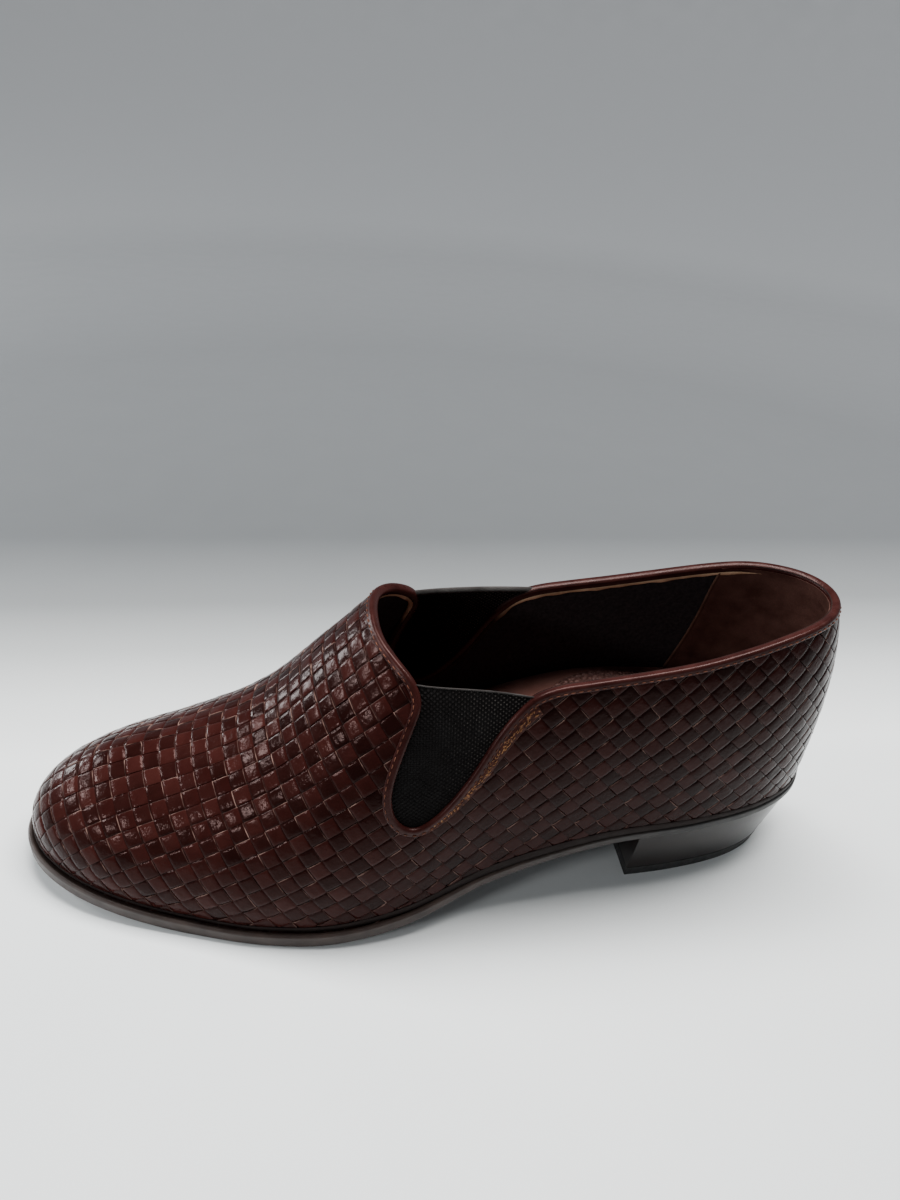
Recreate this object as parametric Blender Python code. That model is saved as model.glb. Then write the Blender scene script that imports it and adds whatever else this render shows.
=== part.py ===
"""Woven leather slip-on with elastic side gores and a low block heel, left foot."""
import bpy
import numpy as np

MM = 0.001
GAP = 0.3

# Main sizes in millimetres, heel back to toe tip measured at the feather line
LENGTH = 256.0
HEEL_REACH = 30.0
TOE_REACH = 38.0
WALL = 2.0
GORE_SET_IN = 0.4
GORE_THICK = 1.2
SOLE_FLAT_BELOW = 5.25
EDGE_ROUND = 0.9
HEEL_BREAST = 63.5
HEEL_BACK_IN = 6.4
HEEL_SIDE_TAPER = 0.12
HEEL_SET_IN = 0.6
LIFT_THICK = 4.0
THROAT_TURN = 0.085
GORE_CROWN = 1.0
GORE_CLEAR = 6.0
BELLY_SHARE = 0.6
EDGE_EASE = 0.3
FLAT_TURN = 0.65

# How finely the curves are divided
SIDE_STEPS = 54
RISE_STEPS = 18
HEEL_STEPS = 18
THROAT_STEPS = 3
GORE_TOP_STEPS = 8
HEEL_LEVELS = 3
FOOTBED_LEVELS = 4
HALVINGS = 30

# One row for each section of the last, from the heel back to the toe tip
SECTION_COLUMNS = (
    "from_heel", "lateral", "medial", "feather", "ridge",
    "side_power", "crown_power", "bulge", "edge_out", "edge_thick", "footbed",
)
SECTIONS = (
    (0, 0.0, 0.0, 29.5, 111.0, 0.42, 0.90, 1.0, 0.9, 3.0, 17.0),
    (8, 17.0, 17.0, 29.3, 111.0, 0.42, 0.90, 1.0, 0.9, 3.0, 17.2),
    (22, 24.5, 25.0, 28.4, 111.0, 0.42, 0.90, 0.9, 0.9, 3.0, 17.8),
    (45, 29.5, 28.5, 27.2, 111.0, 0.46, 0.90, 0.7, 0.9, 3.0, 18.5),
    (80, 32.5, 27.5, 24.6, 111.0, 0.55, 0.90, 1.0, 1.0, 3.0, 21.5),
    (115, 37.0, 28.0, 16.4, 109.5, 0.75, 0.94, 0.8, 1.4, 3.4, 18.5),
    (140, 43.5, 31.5, 9.2, 101.5, 0.92, 0.97, 0.5, 2.1, 4.2, 11.0),
    (160, 45.5, 36.0, 6.0, 80.8, 0.96, 0.97, 0.5, 2.5, 4.6, 7.0),
    (180, 43.8, 39.0, 5.0, 59.5, 0.96, 0.97, 0.6, 2.6, 4.7, 4.6),
    (205, 37.6, 37.4, 5.2, 46.4, 0.98, 0.95, 0.9, 2.6, 4.7, 3.6),
    (232, 28.0, 29.0, 7.6, 40.4, 1.00, 0.92, 1.1, 2.6, 4.7, 3.2),
    (249, 16.0, 16.6, 9.6, 37.6, 1.00, 0.92, 1.1, 2.6, 4.7, 3.0),
    (256, 0.0, 0.0, 10.3, 36.0, 1.00, 0.92, 1.1, 2.6, 4.7, 3.0),
)

# Edge of the opening seen from the side, from behind the heel to beyond the tongue,
# each row the distance from the heel back and the height
THROAT = (
    (-14.0, 98.0),
    (0.0, 96.8),
    (12.0, 96.0),
    (26.0, 94.4),
    (40.0, 91.6),
    (55.0, 88.7),
    (71.0, 86.6),
    (86.0, 85.0),
    (97.0, 83.4),
    (102.7, 81.2),
    (108.0, 76.0),
    (112.4, 69.8),
    (116.9, 61.3),
    (123.1, 51.7),
    (129.7, 44.9),
    (134.4, 42.6),
    (138.8, 44.6),
    (141.6, 49.2),
    (142.2, 55.2),
    (141.0, 61.4),
    (139.0, 68.0),
    (136.4, 75.6),
    (135.0, 80.6),
    (136.6, 84.6),
    (142.2, 89.0),
    (148.0, 91.8),
    (153.0, 95.6),
    (158.0, 102.0),
)
# Rows where each gore's top edge meets the opening, heel side first
LATERAL_GORE_ROWS = (9, 23)
MEDIAL_GORE_ROWS = (8, 23)
CUT_TOP = 135.0
CUT_HALF_WIDTH = 80.0

# Colour, roughness and metallic for each piece
FINISHES = {
    "upper": ((0.090, 0.020, 0.016), 0.38, 0.0),
    "gore_lateral": ((0.010, 0.010, 0.010), 0.85, 0.0),
    "gore_medial": ((0.010, 0.010, 0.010), 0.85, 0.0),
    "insole": ((0.120, 0.045, 0.035), 0.60, 0.0),
    "outsole": ((0.045, 0.028, 0.024), 0.45, 0.0),
    "heel_block": ((0.020, 0.014, 0.013), 0.15, 0.0),
    "top_lift": ((0.012, 0.012, 0.012), 0.60, 0.0),
}


def smooth_through(stations, values, wanted):
    """Cubic curve through the given rows, with slopes taken from the neighbours."""
    stations = np.asarray(stations, float)
    values = np.asarray(values, float)
    wanted = np.asarray(wanted, float)
    step = np.diff(stations)
    rise = np.diff(values) / step
    slope = np.empty(len(values))
    slope[1:-1] = (rise[:-1] * step[1:] + rise[1:] * step[:-1]) / (step[:-1] + step[1:])
    slope[0] = (3 * rise[0] - slope[1]) / 2
    slope[-1] = (3 * rise[-1] - slope[-2]) / 2
    row = np.clip(np.searchsorted(stations, wanted) - 1, 0, len(step) - 1)
    part = (wanted - stations[row]) / step[row]
    near = values[row] * (1 + 2 * part) * (1 - part) ** 2
    far = values[row + 1] * (3 - 2 * part) * part ** 2
    lift = slope[row] * part * (1 - part) ** 2 - slope[row + 1] * (1 - part) * part ** 2
    return near + far + step[row] * lift


def column(name):
    place = SECTION_COLUMNS.index(name)
    return np.array([row[place] for row in SECTIONS], float)


def turn_at(from_heel):
    """Place along a side, 0 at the heel back and 1 at the toe tip."""
    return np.arccos(1 - 2 * np.asarray(from_heel, float) / LENGTH) / np.pi


def from_heel_at(turn):
    return LENGTH * (1 - np.cos(np.pi * np.asarray(turn, float))) / 2


def along(name, turn):
    return smooth_through(turn_at(column("from_heel")), column(name), turn)


def feather_point(turn, side):
    half_width = along("lateral" if side < 0 else "medial", turn)
    return np.stack([LENGTH / 2 - from_heel_at(turn), side * half_width, along("feather", turn)], -1)


def ridge_height(from_heel):
    return smooth_through(column("from_heel"), column("ridge"), from_heel)


def ridge_point(turn):
    reach = HEEL_REACH + (LENGTH - HEEL_REACH - TOE_REACH) * from_heel_at(turn) / LENGTH
    return np.stack([LENGTH / 2 - reach, 0 * reach, ridge_height(reach)], -1)


def last_point(turn, side, rise, inset):
    """Point of the last, rise 0 at the feather line and 1 on the ridge, moved in by the inset."""
    foot = feather_point(turn, side)
    crown = ridge_point(turn)
    outward = (foot - crown) * np.array([1.0, 1.0, 0.0])
    outward = outward / np.linalg.norm(outward, axis=-1, keepdims=True)
    foot = foot - inset * outward
    across = 1 - np.cos(rise * np.pi / 2) ** along("side_power", turn)
    upward = np.sin(rise * np.pi / 2) ** along("crown_power", turn)
    belly = along("bulge", turn) * np.sin(np.pi * np.clip(rise / BELLY_SHARE, 0, 1))
    point = foot + (crown - foot) * across[..., None]
    height = ridge_height(LENGTH / 2 - point[..., 0]) - inset
    point[..., 2] = foot[..., 2] + (height - foot[..., 2]) * upward
    return point + outward * belly[..., None]


def round_turns(steps):
    """Turns and sides of one loop: lateral from heel to toe, then medial back to the heel."""
    turns = np.linspace(0, 1, steps + 1)
    loop_turn = np.concatenate([turns, turns[-2:0:-1]])
    loop_side = np.concatenate([-np.ones(steps + 1), np.ones(steps - 1)])
    return loop_turn, loop_side


def by_side(turn, side, make):
    return np.where((side < 0)[..., None], make(turn, -1), make(turn, 1))


def plan_normals(loop):
    ahead = np.roll(loop, -1, axis=0) - np.roll(loop, 1, axis=0)
    normal = np.stack([ahead[:, 1], -ahead[:, 0]], -1)
    normal = normal / np.linalg.norm(normal, axis=1, keepdims=True)
    middle = loop[:, :2].mean(axis=0)
    if ((loop[:, :2] - middle) * normal).sum() < 0:
        normal = -normal
    return normal


def moved_out(loop, distance):
    out = loop.copy()
    out[:, :2] += plan_normals(loop) * distance[:, None]
    return out


def bottom_height(turn):
    """Underside of the outsole, flat on the floor under the ball of the foot."""
    low = along("feather", turn) - GAP - along("edge_thick", turn)
    level = SOLE_FLAT_BELOW - GAP - along("edge_thick", FLAT_TURN)
    return np.maximum(low - level, 0.0)


def sole_loop(extra):
    turn, side = round_turns(SIDE_STEPS)
    loop = by_side(turn, side, feather_point)
    return moved_out(loop, along("edge_out", turn) + extra), turn


def middle_shift():
    """Puts the middle of the floor outline at the origin."""
    loop, turn = sole_loop(0.0)
    turns, sides = round_turns(SIDE_STEPS)
    rises = np.linspace(0, 0.5, RISE_STEPS)
    rings = [by_side(turns, sides, lambda t, s, r=rise: last_point(t, s, r + 0.0 * t, 0.0)) for rise in rises]
    every = np.concatenate([loop] + rings)
    middle = (every.min(axis=0) + every.max(axis=0)) / 2
    return np.array([middle[0], middle[1], 0.0])


def make_finish(name):
    colour, roughness, metallic = FINISHES[name]
    material = bpy.data.materials.new(name)
    material.use_nodes = True
    shader = material.node_tree.nodes["Principled BSDF"]
    shader.inputs["Base Color"].default_value = (*colour, 1.0)
    shader.inputs["Roughness"].default_value = roughness
    shader.inputs["Metallic"].default_value = metallic
    material.diffuse_color = (*colour, 1.0)
    return material


def make_piece(name, points, faces, is_cutter=False):
    mesh = bpy.data.meshes.new(name)
    placed = (np.asarray(points) - MIDDLE) * MM
    mesh.from_pydata(placed.tolist(), [], faces)
    mesh.validate()
    piece = bpy.data.objects.new(name, mesh)
    bpy.context.collection.objects.link(piece)
    mesh.shade_smooth()
    if is_cutter:
        piece.hide_render = True
        piece.display_type = "WIRE"
    else:
        mesh.materials.append(make_finish(name))
    return piece


def face_outward(piece):
    """Turns every face outward by the sign of the enclosed volume."""
    volume = 0.0
    for polygon in piece.data.polygons:
        corners = [piece.data.vertices[i].co for i in polygon.vertices]
        for second, third in zip(corners[1:-1], corners[2:]):
            volume += corners[0].dot(second.cross(third))
    if volume < 0:
        piece.data.flip_normals()


def cut(piece, cutter, operation):
    step = piece.modifiers.new(operation.lower(), "BOOLEAN")
    step.operation = operation
    step.object = cutter
    step.solver = "EXACT"


def ring_faces(first, second, count):
    return [
        (first + i, first + (i + 1) % count, second + (i + 1) % count, second + i)
        for i in range(count)
    ]


def cap_faces(first, steps, count):
    """Closes a heel-to-toe loop with strips from the lateral to the medial side."""
    faces = []
    for i in range(steps):
        corners = [first + i, first + i + 1, first + (count - i - 1) % count, first + (count - i) % count]
        faces.append(tuple(dict.fromkeys(corners)))
    return faces


def shell_piece(name, outer_inset, inner_inset):
    """Hollow form of the last between two insets, open underneath."""
    turns, sides = round_turns(SIDE_STEPS)
    count = len(turns)
    ridge_turns = np.linspace(0, 1, SIDE_STEPS + 1)
    rises = np.linspace(0, 1, RISE_STEPS + 1)[:-1]
    points = []
    faces = []
    starts = []
    for inset in (outer_inset, inner_inset):
        first = sum(len(block) for block in points)
        starts.append(first)
        for rise in rises:
            points.append(by_side(turns, sides, lambda t, s: last_point(t, s, rise + 0.0 * t, inset)))
        points.append(ridge_point(ridge_turns) - np.array([0.0, 0.0, inset]))
        is_inner = inset == inner_inset
        skin = []
        for level in range(RISE_STEPS - 1):
            skin += ring_faces(first + level * count, first + (level + 1) * count, count)
        last_ring = first + (RISE_STEPS - 1) * count
        crown = first + RISE_STEPS * count
        for i in range(count):
            j = (i + 1) % count
            crown_i = crown + min(i, count - i)
            crown_j = crown + min(j, count - j)
            skin.append((last_ring + i, last_ring + j, crown_j, crown_i))
        faces += [tuple(reversed(face)) for face in skin] if is_inner else skin
    faces += ring_faces(starts[1], starts[0], count)
    piece = make_piece(name, np.concatenate(points), faces)
    face_outward(piece)
    return piece


def throat_curve(first_row, last_row):
    rows = np.array(THROAT, float)
    length = np.concatenate([[0], np.cumsum(np.linalg.norm(np.diff(rows, axis=0), axis=1))])
    marks = []
    for row in range(first_row, last_row):
        marks += list(np.linspace(length[row], length[row + 1], THROAT_STEPS, endpoint=False))
    marks.append(length[last_row])
    return np.stack([smooth_through(length, rows[:, i], marks) for i in range(2)], -1)


def prism_piece(name, outline, low, high):
    """Upright outline seen from the side, drawn out across the shoe with the throat's turn."""
    count = len(outline)
    points = []
    for across in (low, high):
        for from_heel, height in outline:
            points.append((LENGTH / 2 - from_heel + THROAT_TURN * across, across, height))
    faces = ring_faces(0, count, count)
    faces.append(tuple(range(count - 1, -1, -1)))
    faces.append(tuple(range(count, 2 * count)))
    piece = make_piece(name, points, faces, is_cutter=True)
    face_outward(piece)
    return piece


def make_upper():
    upper = shell_piece("upper", 0.0, WALL)
    edge = throat_curve(0, len(THROAT) - 1)
    corners = np.array([(THROAT[-1][0], CUT_TOP), (THROAT[0][0], CUT_TOP)])
    opening = prism_piece("opening_cutter", np.concatenate([edge, corners]), -CUT_HALF_WIDTH, CUT_HALF_WIDTH)
    cut(upper, opening, "DIFFERENCE")


def gore_outline(first_row, last_row):
    """Notch edge set in by the gap, closed by a slightly crowned top."""
    notch = throat_curve(first_row, last_row)
    ahead = np.gradient(notch, axis=0)
    inward = np.stack([-ahead[:, 1], ahead[:, 0]], -1)
    inward = inward / np.linalg.norm(inward, axis=1, keepdims=True)
    if inward[len(notch) // 2, 1] < 0:
        inward = -inward
    notch = notch + inward * GAP
    part = np.linspace(1, 0, GORE_TOP_STEPS + 1)[1:-1, None]
    top = notch[0] + (notch[-1] - notch[0]) * part
    top = top + np.array([0.0, GORE_CROWN]) * 4 * part * (1 - part)
    return np.concatenate([notch, top])


def make_gores():
    for name, rows, low, high in (
        ("gore_lateral", LATERAL_GORE_ROWS, -CUT_HALF_WIDTH, -GORE_CLEAR),
        ("gore_medial", MEDIAL_GORE_ROWS, GORE_CLEAR, CUT_HALF_WIDTH),
    ):
        gore = shell_piece(name, GORE_SET_IN, GORE_SET_IN + GORE_THICK)
        panel = prism_piece(name + "_cutter", gore_outline(*rows), low, high)
        cut(gore, panel, "INTERSECT")


def wall_point(turn, side, lift, inset):
    """Point of the last at a given height above the feather line, found by halving."""
    low = np.zeros_like(turn)
    high = np.ones_like(turn)
    wanted = along("feather", turn) + lift
    for _ in range(HALVINGS):
        middle = (low + high) / 2
        is_over = last_point(turn, side, middle, inset)[..., 2] > wanted
        low = np.where(is_over, low, middle)
        high = np.where(is_over, middle, high)
    return last_point(turn, side, low, inset)


def make_insole():
    """Footbed that fills the bottom of the upper, thick under the heel and thin at the toe."""
    turns, sides = round_turns(SIDE_STEPS)
    count = len(turns)
    rings = []
    faces = []
    for level in range(FOOTBED_LEVELS + 1):
        lift = along("footbed", turns) * level / FOOTBED_LEVELS
        rings.append(by_side(turns, sides, lambda t, s: wall_point(t, s, lift, WALL + GAP)))
    for level in range(FOOTBED_LEVELS):
        faces += ring_faces(level * count, (level + 1) * count, count)
    faces += [tuple(reversed(face)) for face in cap_faces(0, SIDE_STEPS, count)]
    faces += cap_faces(FOOTBED_LEVELS * count, SIDE_STEPS, count)
    face_outward(make_piece("insole", np.concatenate(rings), faces))


def make_outsole():
    rings = []
    for extra, at_top, shift in (
        (-EDGE_ROUND, True, 0.0),
        (-EDGE_EASE * EDGE_ROUND, True, -EDGE_EASE * EDGE_ROUND),
        (0.0, True, -EDGE_ROUND),
        (0.0, False, EDGE_ROUND),
        (-EDGE_EASE * EDGE_ROUND, False, EDGE_EASE * EDGE_ROUND),
        (-EDGE_ROUND, False, 0.0),
    ):
        ring, turn = sole_loop(extra)
        ring[:, 2] = along("feather", turn) - GAP if at_top else bottom_height(turn)
        ring[:, 2] += shift
        rings.append(ring)
    count = len(rings[0])
    faces = []
    for level in range(len(rings) - 1):
        faces += ring_faces(level * count, (level + 1) * count, count)
    faces += [tuple(reversed(face)) for face in cap_faces(0, SIDE_STEPS, count)]
    faces += cap_faces((len(rings) - 1) * count, SIDE_STEPS, count)
    face_outward(make_piece("outsole", np.concatenate(rings), faces))


def heel_ring(share):
    """Outline of the heel from breast round the back, share 0 at the top and 1 at the floor."""
    turns = np.linspace(turn_at(HEEL_BREAST), 0, HEEL_STEPS + 1)
    turns = np.concatenate([turns, turns[-2::-1]])
    sides = np.concatenate([-np.ones(HEEL_STEPS + 1), np.ones(HEEL_STEPS)])
    foot = by_side(turns, sides, feather_point)
    back = HEEL_BACK_IN * share - (1 - share) * HEEL_SET_IN / 2
    reach = back + from_heel_at(turns) * (HEEL_BREAST - back) / HEEL_BREAST
    ring = np.stack([LENGTH / 2 - reach, foot[:, 1] * (1 - HEEL_SIDE_TAPER * share), 0 * reach], -1)
    return ring, turns


def heel_piece(name, top_share, bottom_share, top_height, bottom_height_now):
    rings = []
    levels = np.linspace(0, 1, HEEL_LEVELS + 1)
    for level in levels:
        share = top_share + (bottom_share - top_share) * level
        ring, turns = heel_ring(share)
        upper_edge = top_height(turns)
        ring[:, 2] = upper_edge + (bottom_height_now - upper_edge) * level
        rings.append(ring)
    count = len(rings[0])
    faces = []
    for level in range(len(levels) - 1):
        faces += ring_faces(level * count, (level + 1) * count, count)
    for first in (0, (len(levels) - 1) * count):
        strips = []
        for i in range(HEEL_STEPS):
            corners = [first + i, first + i + 1, first + count - i - 2, first + count - i - 1]
            strips.append(tuple(dict.fromkeys(corners)))
        faces += strips if first else [tuple(reversed(strip)) for strip in strips]
    face_outward(make_piece(name, np.concatenate(rings), faces))


def make_heel():
    full = along("feather", 0.0)
    lift_share = 1 - LIFT_THICK / full
    heel_piece("heel_block", 0.0, lift_share, lambda t: bottom_height(t) - GAP, LIFT_THICK + GAP)
    heel_piece("top_lift", lift_share, 1.0, lambda t: LIFT_THICK + 0 * t, 0.0)


for old in list(bpy.data.objects):
    bpy.data.objects.remove(old)
MIDDLE = middle_shift()
make_upper()
make_gores()
make_insole()
make_outsole()
make_heel()
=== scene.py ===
"""Looks of the woven slip-on shoe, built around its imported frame."""

import math

import bpy
import numpy as np
from mathutils import Matrix, Vector
from mathutils.bvhtree import BVHTree


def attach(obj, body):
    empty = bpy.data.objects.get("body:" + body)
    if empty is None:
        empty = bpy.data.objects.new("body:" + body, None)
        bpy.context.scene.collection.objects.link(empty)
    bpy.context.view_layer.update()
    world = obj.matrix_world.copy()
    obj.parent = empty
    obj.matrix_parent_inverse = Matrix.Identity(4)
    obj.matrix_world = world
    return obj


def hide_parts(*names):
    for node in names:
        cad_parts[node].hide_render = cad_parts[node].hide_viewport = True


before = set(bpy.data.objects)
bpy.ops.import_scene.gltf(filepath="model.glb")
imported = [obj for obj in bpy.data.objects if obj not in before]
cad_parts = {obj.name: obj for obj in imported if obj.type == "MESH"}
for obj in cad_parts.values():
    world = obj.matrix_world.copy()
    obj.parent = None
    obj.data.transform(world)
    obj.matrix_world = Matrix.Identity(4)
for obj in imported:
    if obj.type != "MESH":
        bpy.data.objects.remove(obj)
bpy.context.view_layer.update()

MM = 0.001
# Middle of the floor outline in the millimetre frame used below
MIDDLE = np.array([-0.85, -3.094, 0.0])
RANDOM = np.random.default_rng(7)

# The last, with the same sizes as the solids: one row for each section from heel to toe
LENGTH = 256.0
HEEL_REACH = 30.0
TOE_REACH = 38.0
WALL = 2.0
GAP = 0.3
SOLE_FLAT_BELOW = 5.25
FLAT_TURN = 0.65
HEEL_BREAST = 63.5
HEEL_BACK_IN = 6.4
HEEL_SIDE_TAPER = 0.12
HEEL_SET_IN = 0.6
LIFT_THICK = 4.0
THROAT_TURN = 0.085
BELLY_SHARE = 0.6
SECTION_COLUMNS = (
    "from_heel", "lateral", "medial", "feather", "ridge",
    "side_power", "crown_power", "bulge", "edge_out", "edge_thick", "footbed",
)
SECTIONS = (
    (0, 0.0, 0.0, 29.5, 111.0, 0.42, 0.90, 1.0, 0.9, 3.0, 17.0),
    (8, 17.0, 17.0, 29.3, 111.0, 0.42, 0.90, 1.0, 0.9, 3.0, 17.2),
    (22, 24.5, 25.0, 28.4, 111.0, 0.42, 0.90, 0.9, 0.9, 3.0, 17.8),
    (45, 29.5, 28.5, 27.2, 111.0, 0.46, 0.90, 0.7, 0.9, 3.0, 18.5),
    (80, 32.5, 27.5, 24.6, 111.0, 0.55, 0.90, 1.0, 1.0, 3.0, 21.5),
    (115, 37.0, 28.0, 16.4, 109.5, 0.75, 0.94, 0.8, 1.4, 3.4, 18.5),
    (140, 43.5, 31.5, 9.2, 101.5, 0.92, 0.97, 0.5, 2.1, 4.2, 11.0),
    (160, 45.5, 36.0, 6.0, 80.8, 0.96, 0.97, 0.5, 2.5, 4.6, 7.0),
    (180, 43.8, 39.0, 5.0, 59.5, 0.96, 0.97, 0.6, 2.6, 4.7, 4.6),
    (205, 37.6, 37.4, 5.2, 46.4, 0.98, 0.95, 0.9, 2.6, 4.7, 3.6),
    (232, 28.0, 29.0, 7.6, 40.4, 1.00, 0.92, 1.1, 2.6, 4.7, 3.2),
    (249, 16.0, 16.6, 9.6, 37.6, 1.00, 0.92, 1.1, 2.6, 4.7, 3.0),
    (256, 0.0, 0.0, 10.3, 36.0, 1.00, 0.92, 1.1, 2.6, 4.7, 3.0),
)
# Edge of the opening seen from the side: distance from the heel back, height
THROAT = (
    (-14.0, 98.0), (0.0, 96.8), (12.0, 96.0), (26.0, 94.4), (40.0, 91.6), (55.0, 88.7), (71.0, 86.6),
    (86.0, 85.0), (97.0, 83.4), (102.7, 81.2), (108.0, 76.0), (112.4, 69.8), (116.9, 61.3), (123.1, 51.7),
    (129.7, 44.9), (134.4, 42.6), (138.8, 44.6), (141.6, 49.2), (142.2, 55.2), (141.0, 61.4), (139.0, 68.0),
    (136.4, 75.6), (135.0, 80.6), (136.6, 84.6), (142.2, 89.0), (148.0, 91.8), (153.0, 95.6), (158.0, 102.0),
)
GORE_CROWN = 1.0
GORES = (("gore_lateral", -1, 9, 23), ("gore_medial", 1, 8, 23))
CUT_TOP = 135.0
CUT_HALF_WIDTH = 80.0

# Steps and limits of the searches on the last
HALVINGS = 30
NORMAL_STEP = 0.004
CORE_REACH = (-70, 90)
CORE_HEIGHT = 22
CHART_TURNS = 121
CHART_RISES = 61
SLIVER = 1e-5
FAR = 60.0
ON_CHART = 0.02

# The weave
PITCH = 5.2
STRIP_WIDTH = 5.14
STRIP_NARROWEST = 0.975
STRIP_THICK = 0.50
STRIP_SINK = -0.28
STRIP_WAVE = 0.26
WAVE_SHARPNESS = 3.6
WAVE_LEAN = 0.02
TUCK = 2.4
PAD_STATIONS = np.array([-0.5, -0.43, -0.34, -0.16, 0.16, 0.34, 0.43])
STRIP_STATIONS = np.array([-0.5, -0.47, -0.3, 0.0, 0.3, 0.47, 0.5])
STRIP_DROPS = np.array([0.12, 0.05, 0.02, 0.0, 0.02, 0.05, 0.12])
# Sides of a strip's section that show the cut leather, on its two long edges; a strip gets the light
# cut-edge colour on one of them only, the one that faces up into the light, as painted highlight
LIT_CUT_LEFT = (0, 8)
LIT_CUT_RIGHT = (5, 6)
STRIP_SEARCH = 6.0
# Sideways drift of a strip: how far, and over what length
STRIP_DRIFTS = ((0.10, 31), (0.06, 11))
# How unlike each other the pads are
PAD_LIFT = 0.045
PAD_TILT = 0.05
PAD_TONE = 0.42
STRIP_TONE = 0.28
SHEET_TURNS = 80
SHEET_RISES = 26
# Lie of the long strips on the side of the shoe: distance from the heel back, degrees of climb
STRIP_CLIMB = (
    (0, 41), (110, 41), (130, 38), (150, 34), (170, 31), (190, 26), (215, 18), (235, 12), (256, 8),
)
FLATTEN_ROUNDS = 14
WEIGHT_LIMITS = (0.02, 10)
SOLVE_STEPS = 2000
SOLVE_GOAL = 1e-10
TINY = 1e-30


def smooth_through(stations, values, wanted):
    """Cubic curve through the given rows, with slopes taken from the neighbours."""
    stations = np.asarray(stations, float)
    values = np.asarray(values, float)
    wanted = np.asarray(wanted, float)
    step = np.diff(stations)
    rise = np.diff(values) / step
    slope = np.empty(len(values))
    slope[1:-1] = (rise[:-1] * step[1:] + rise[1:] * step[:-1]) / (step[:-1] + step[1:])
    slope[0] = (3 * rise[0] - slope[1]) / 2
    slope[-1] = (3 * rise[-1] - slope[-2]) / 2
    row = np.clip(np.searchsorted(stations, wanted) - 1, 0, len(step) - 1)
    part = (wanted - stations[row]) / step[row]
    near = values[row] * (1 + 2 * part) * (1 - part) ** 2
    far = values[row + 1] * (3 - 2 * part) * part ** 2
    lift = slope[row] * part * (1 - part) ** 2 - slope[row + 1] * (1 - part) * part ** 2
    return near + far + step[row] * lift


def column(name):
    place = SECTION_COLUMNS.index(name)
    return np.array([row[place] for row in SECTIONS], float)


def turn_at(from_heel):
    return np.arccos(1 - 2 * np.asarray(from_heel, float) / LENGTH) / np.pi


def from_heel_at(turn):
    return LENGTH * (1 - np.cos(np.pi * np.asarray(turn, float))) / 2


def along(name, turn):
    return smooth_through(turn_at(column("from_heel")), column(name), turn)


def unit(ways):
    return ways / np.linalg.norm(ways, axis=-1, keepdims=True)


def flat_cross(first, second):
    return first[..., 0] * second[..., 1] - first[..., 1] * second[..., 0]


def lengths(line):
    """Length along a line up to each of its points."""
    return np.concatenate([[0], np.cumsum(np.linalg.norm(np.diff(line, axis=0), axis=1))])


def feather_point(turn, side):
    half_width = along("lateral" if side < 0 else "medial", turn)
    return np.stack([LENGTH / 2 - from_heel_at(turn), side * half_width, along("feather", turn)], -1)


def ridge_height(from_heel):
    return smooth_through(column("from_heel"), column("ridge"), from_heel)


def ridge_point(turn):
    reach = HEEL_REACH + (LENGTH - HEEL_REACH - TOE_REACH) * from_heel_at(turn) / LENGTH
    return np.stack([LENGTH / 2 - reach, 0 * reach, ridge_height(reach)], -1)


def last_point(turn, side, rise, inset):
    """Point of the last, rise 0 at the feather line and 1 on the ridge, moved in by the inset."""
    foot = feather_point(turn, side)
    crown = ridge_point(turn)
    outward = unit((foot - crown) * np.array([1.0, 1.0, 0.0]))
    foot = foot - inset * outward
    across = 1 - np.cos(rise * np.pi / 2) ** along("side_power", turn)
    upward = np.sin(rise * np.pi / 2) ** along("crown_power", turn)
    belly = along("bulge", turn) * np.sin(np.pi * np.clip(rise / BELLY_SHARE, 0, 1))
    point = foot + (crown - foot) * across[..., None]
    height = ridge_height(LENGTH / 2 - point[..., 0]) - inset
    point[..., 2] = foot[..., 2] + (height - foot[..., 2]) * upward
    return point + outward * belly[..., None]


def wall_point(turn, side, lift, inset):
    """Point of the last at a given height above the feather line, found by halving."""
    low = np.zeros_like(turn)
    high = np.ones_like(turn)
    wanted = along("feather", turn) + lift
    for _ in range(HALVINGS):
        middle = (low + high) / 2
        is_over = last_point(turn, side, middle, inset)[..., 2] > wanted
        low = np.where(is_over, low, middle)
        high = np.where(is_over, middle, high)
    return last_point(turn, side, low, inset)


def skin_point(turn, across):
    """Outer skin: across is -1 at the lateral feather line, 0 on the ridge and 1 at the medial one.
    Beyond that the skin goes straight down behind the sole's edge."""
    rise = np.clip(1 - np.abs(across), 0, 1)
    lateral = last_point(turn, -1, rise, 0.0)
    medial = last_point(turn, 1, rise, 0.0)
    point = np.where((across <= 0)[..., None], lateral, medial)
    point[..., 2] -= np.clip(np.abs(across) - 1, 0, None) * TUCK
    return point


def skin_normal(turn, across):
    """Outward normal of the skin; a core line inside the shoe tells which way is out."""
    before, after = np.clip(turn - NORMAL_STEP, 0, 1), np.clip(turn + NORMAL_STEP, 0, 1)
    left, right = np.clip(across - NORMAL_STEP, -2, 2), np.clip(across + NORMAL_STEP, -2, 2)
    ahead = skin_point(after, across) - skin_point(before, across)
    over = skin_point(turn, right) - skin_point(turn, left)
    normal = np.cross(over, ahead)
    normal = normal / np.maximum(np.linalg.norm(normal, axis=-1, keepdims=True), 1e-9)
    here = skin_point(turn, across)
    core = here * 0 + np.array([0, 0, CORE_HEIGHT])
    core[..., 0] = np.clip(here[..., 0], *CORE_REACH)
    facing = np.sign((normal * (here - core)).sum(-1, keepdims=True))
    return normal * np.where(facing == 0, 1, facing)


def side_view(points):
    """Distance from the heel back and height, seen along the throat's turn."""
    return np.stack([LENGTH / 2 - points[..., 0] + THROAT_TURN * points[..., 1], points[..., 2]], -1)


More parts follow.
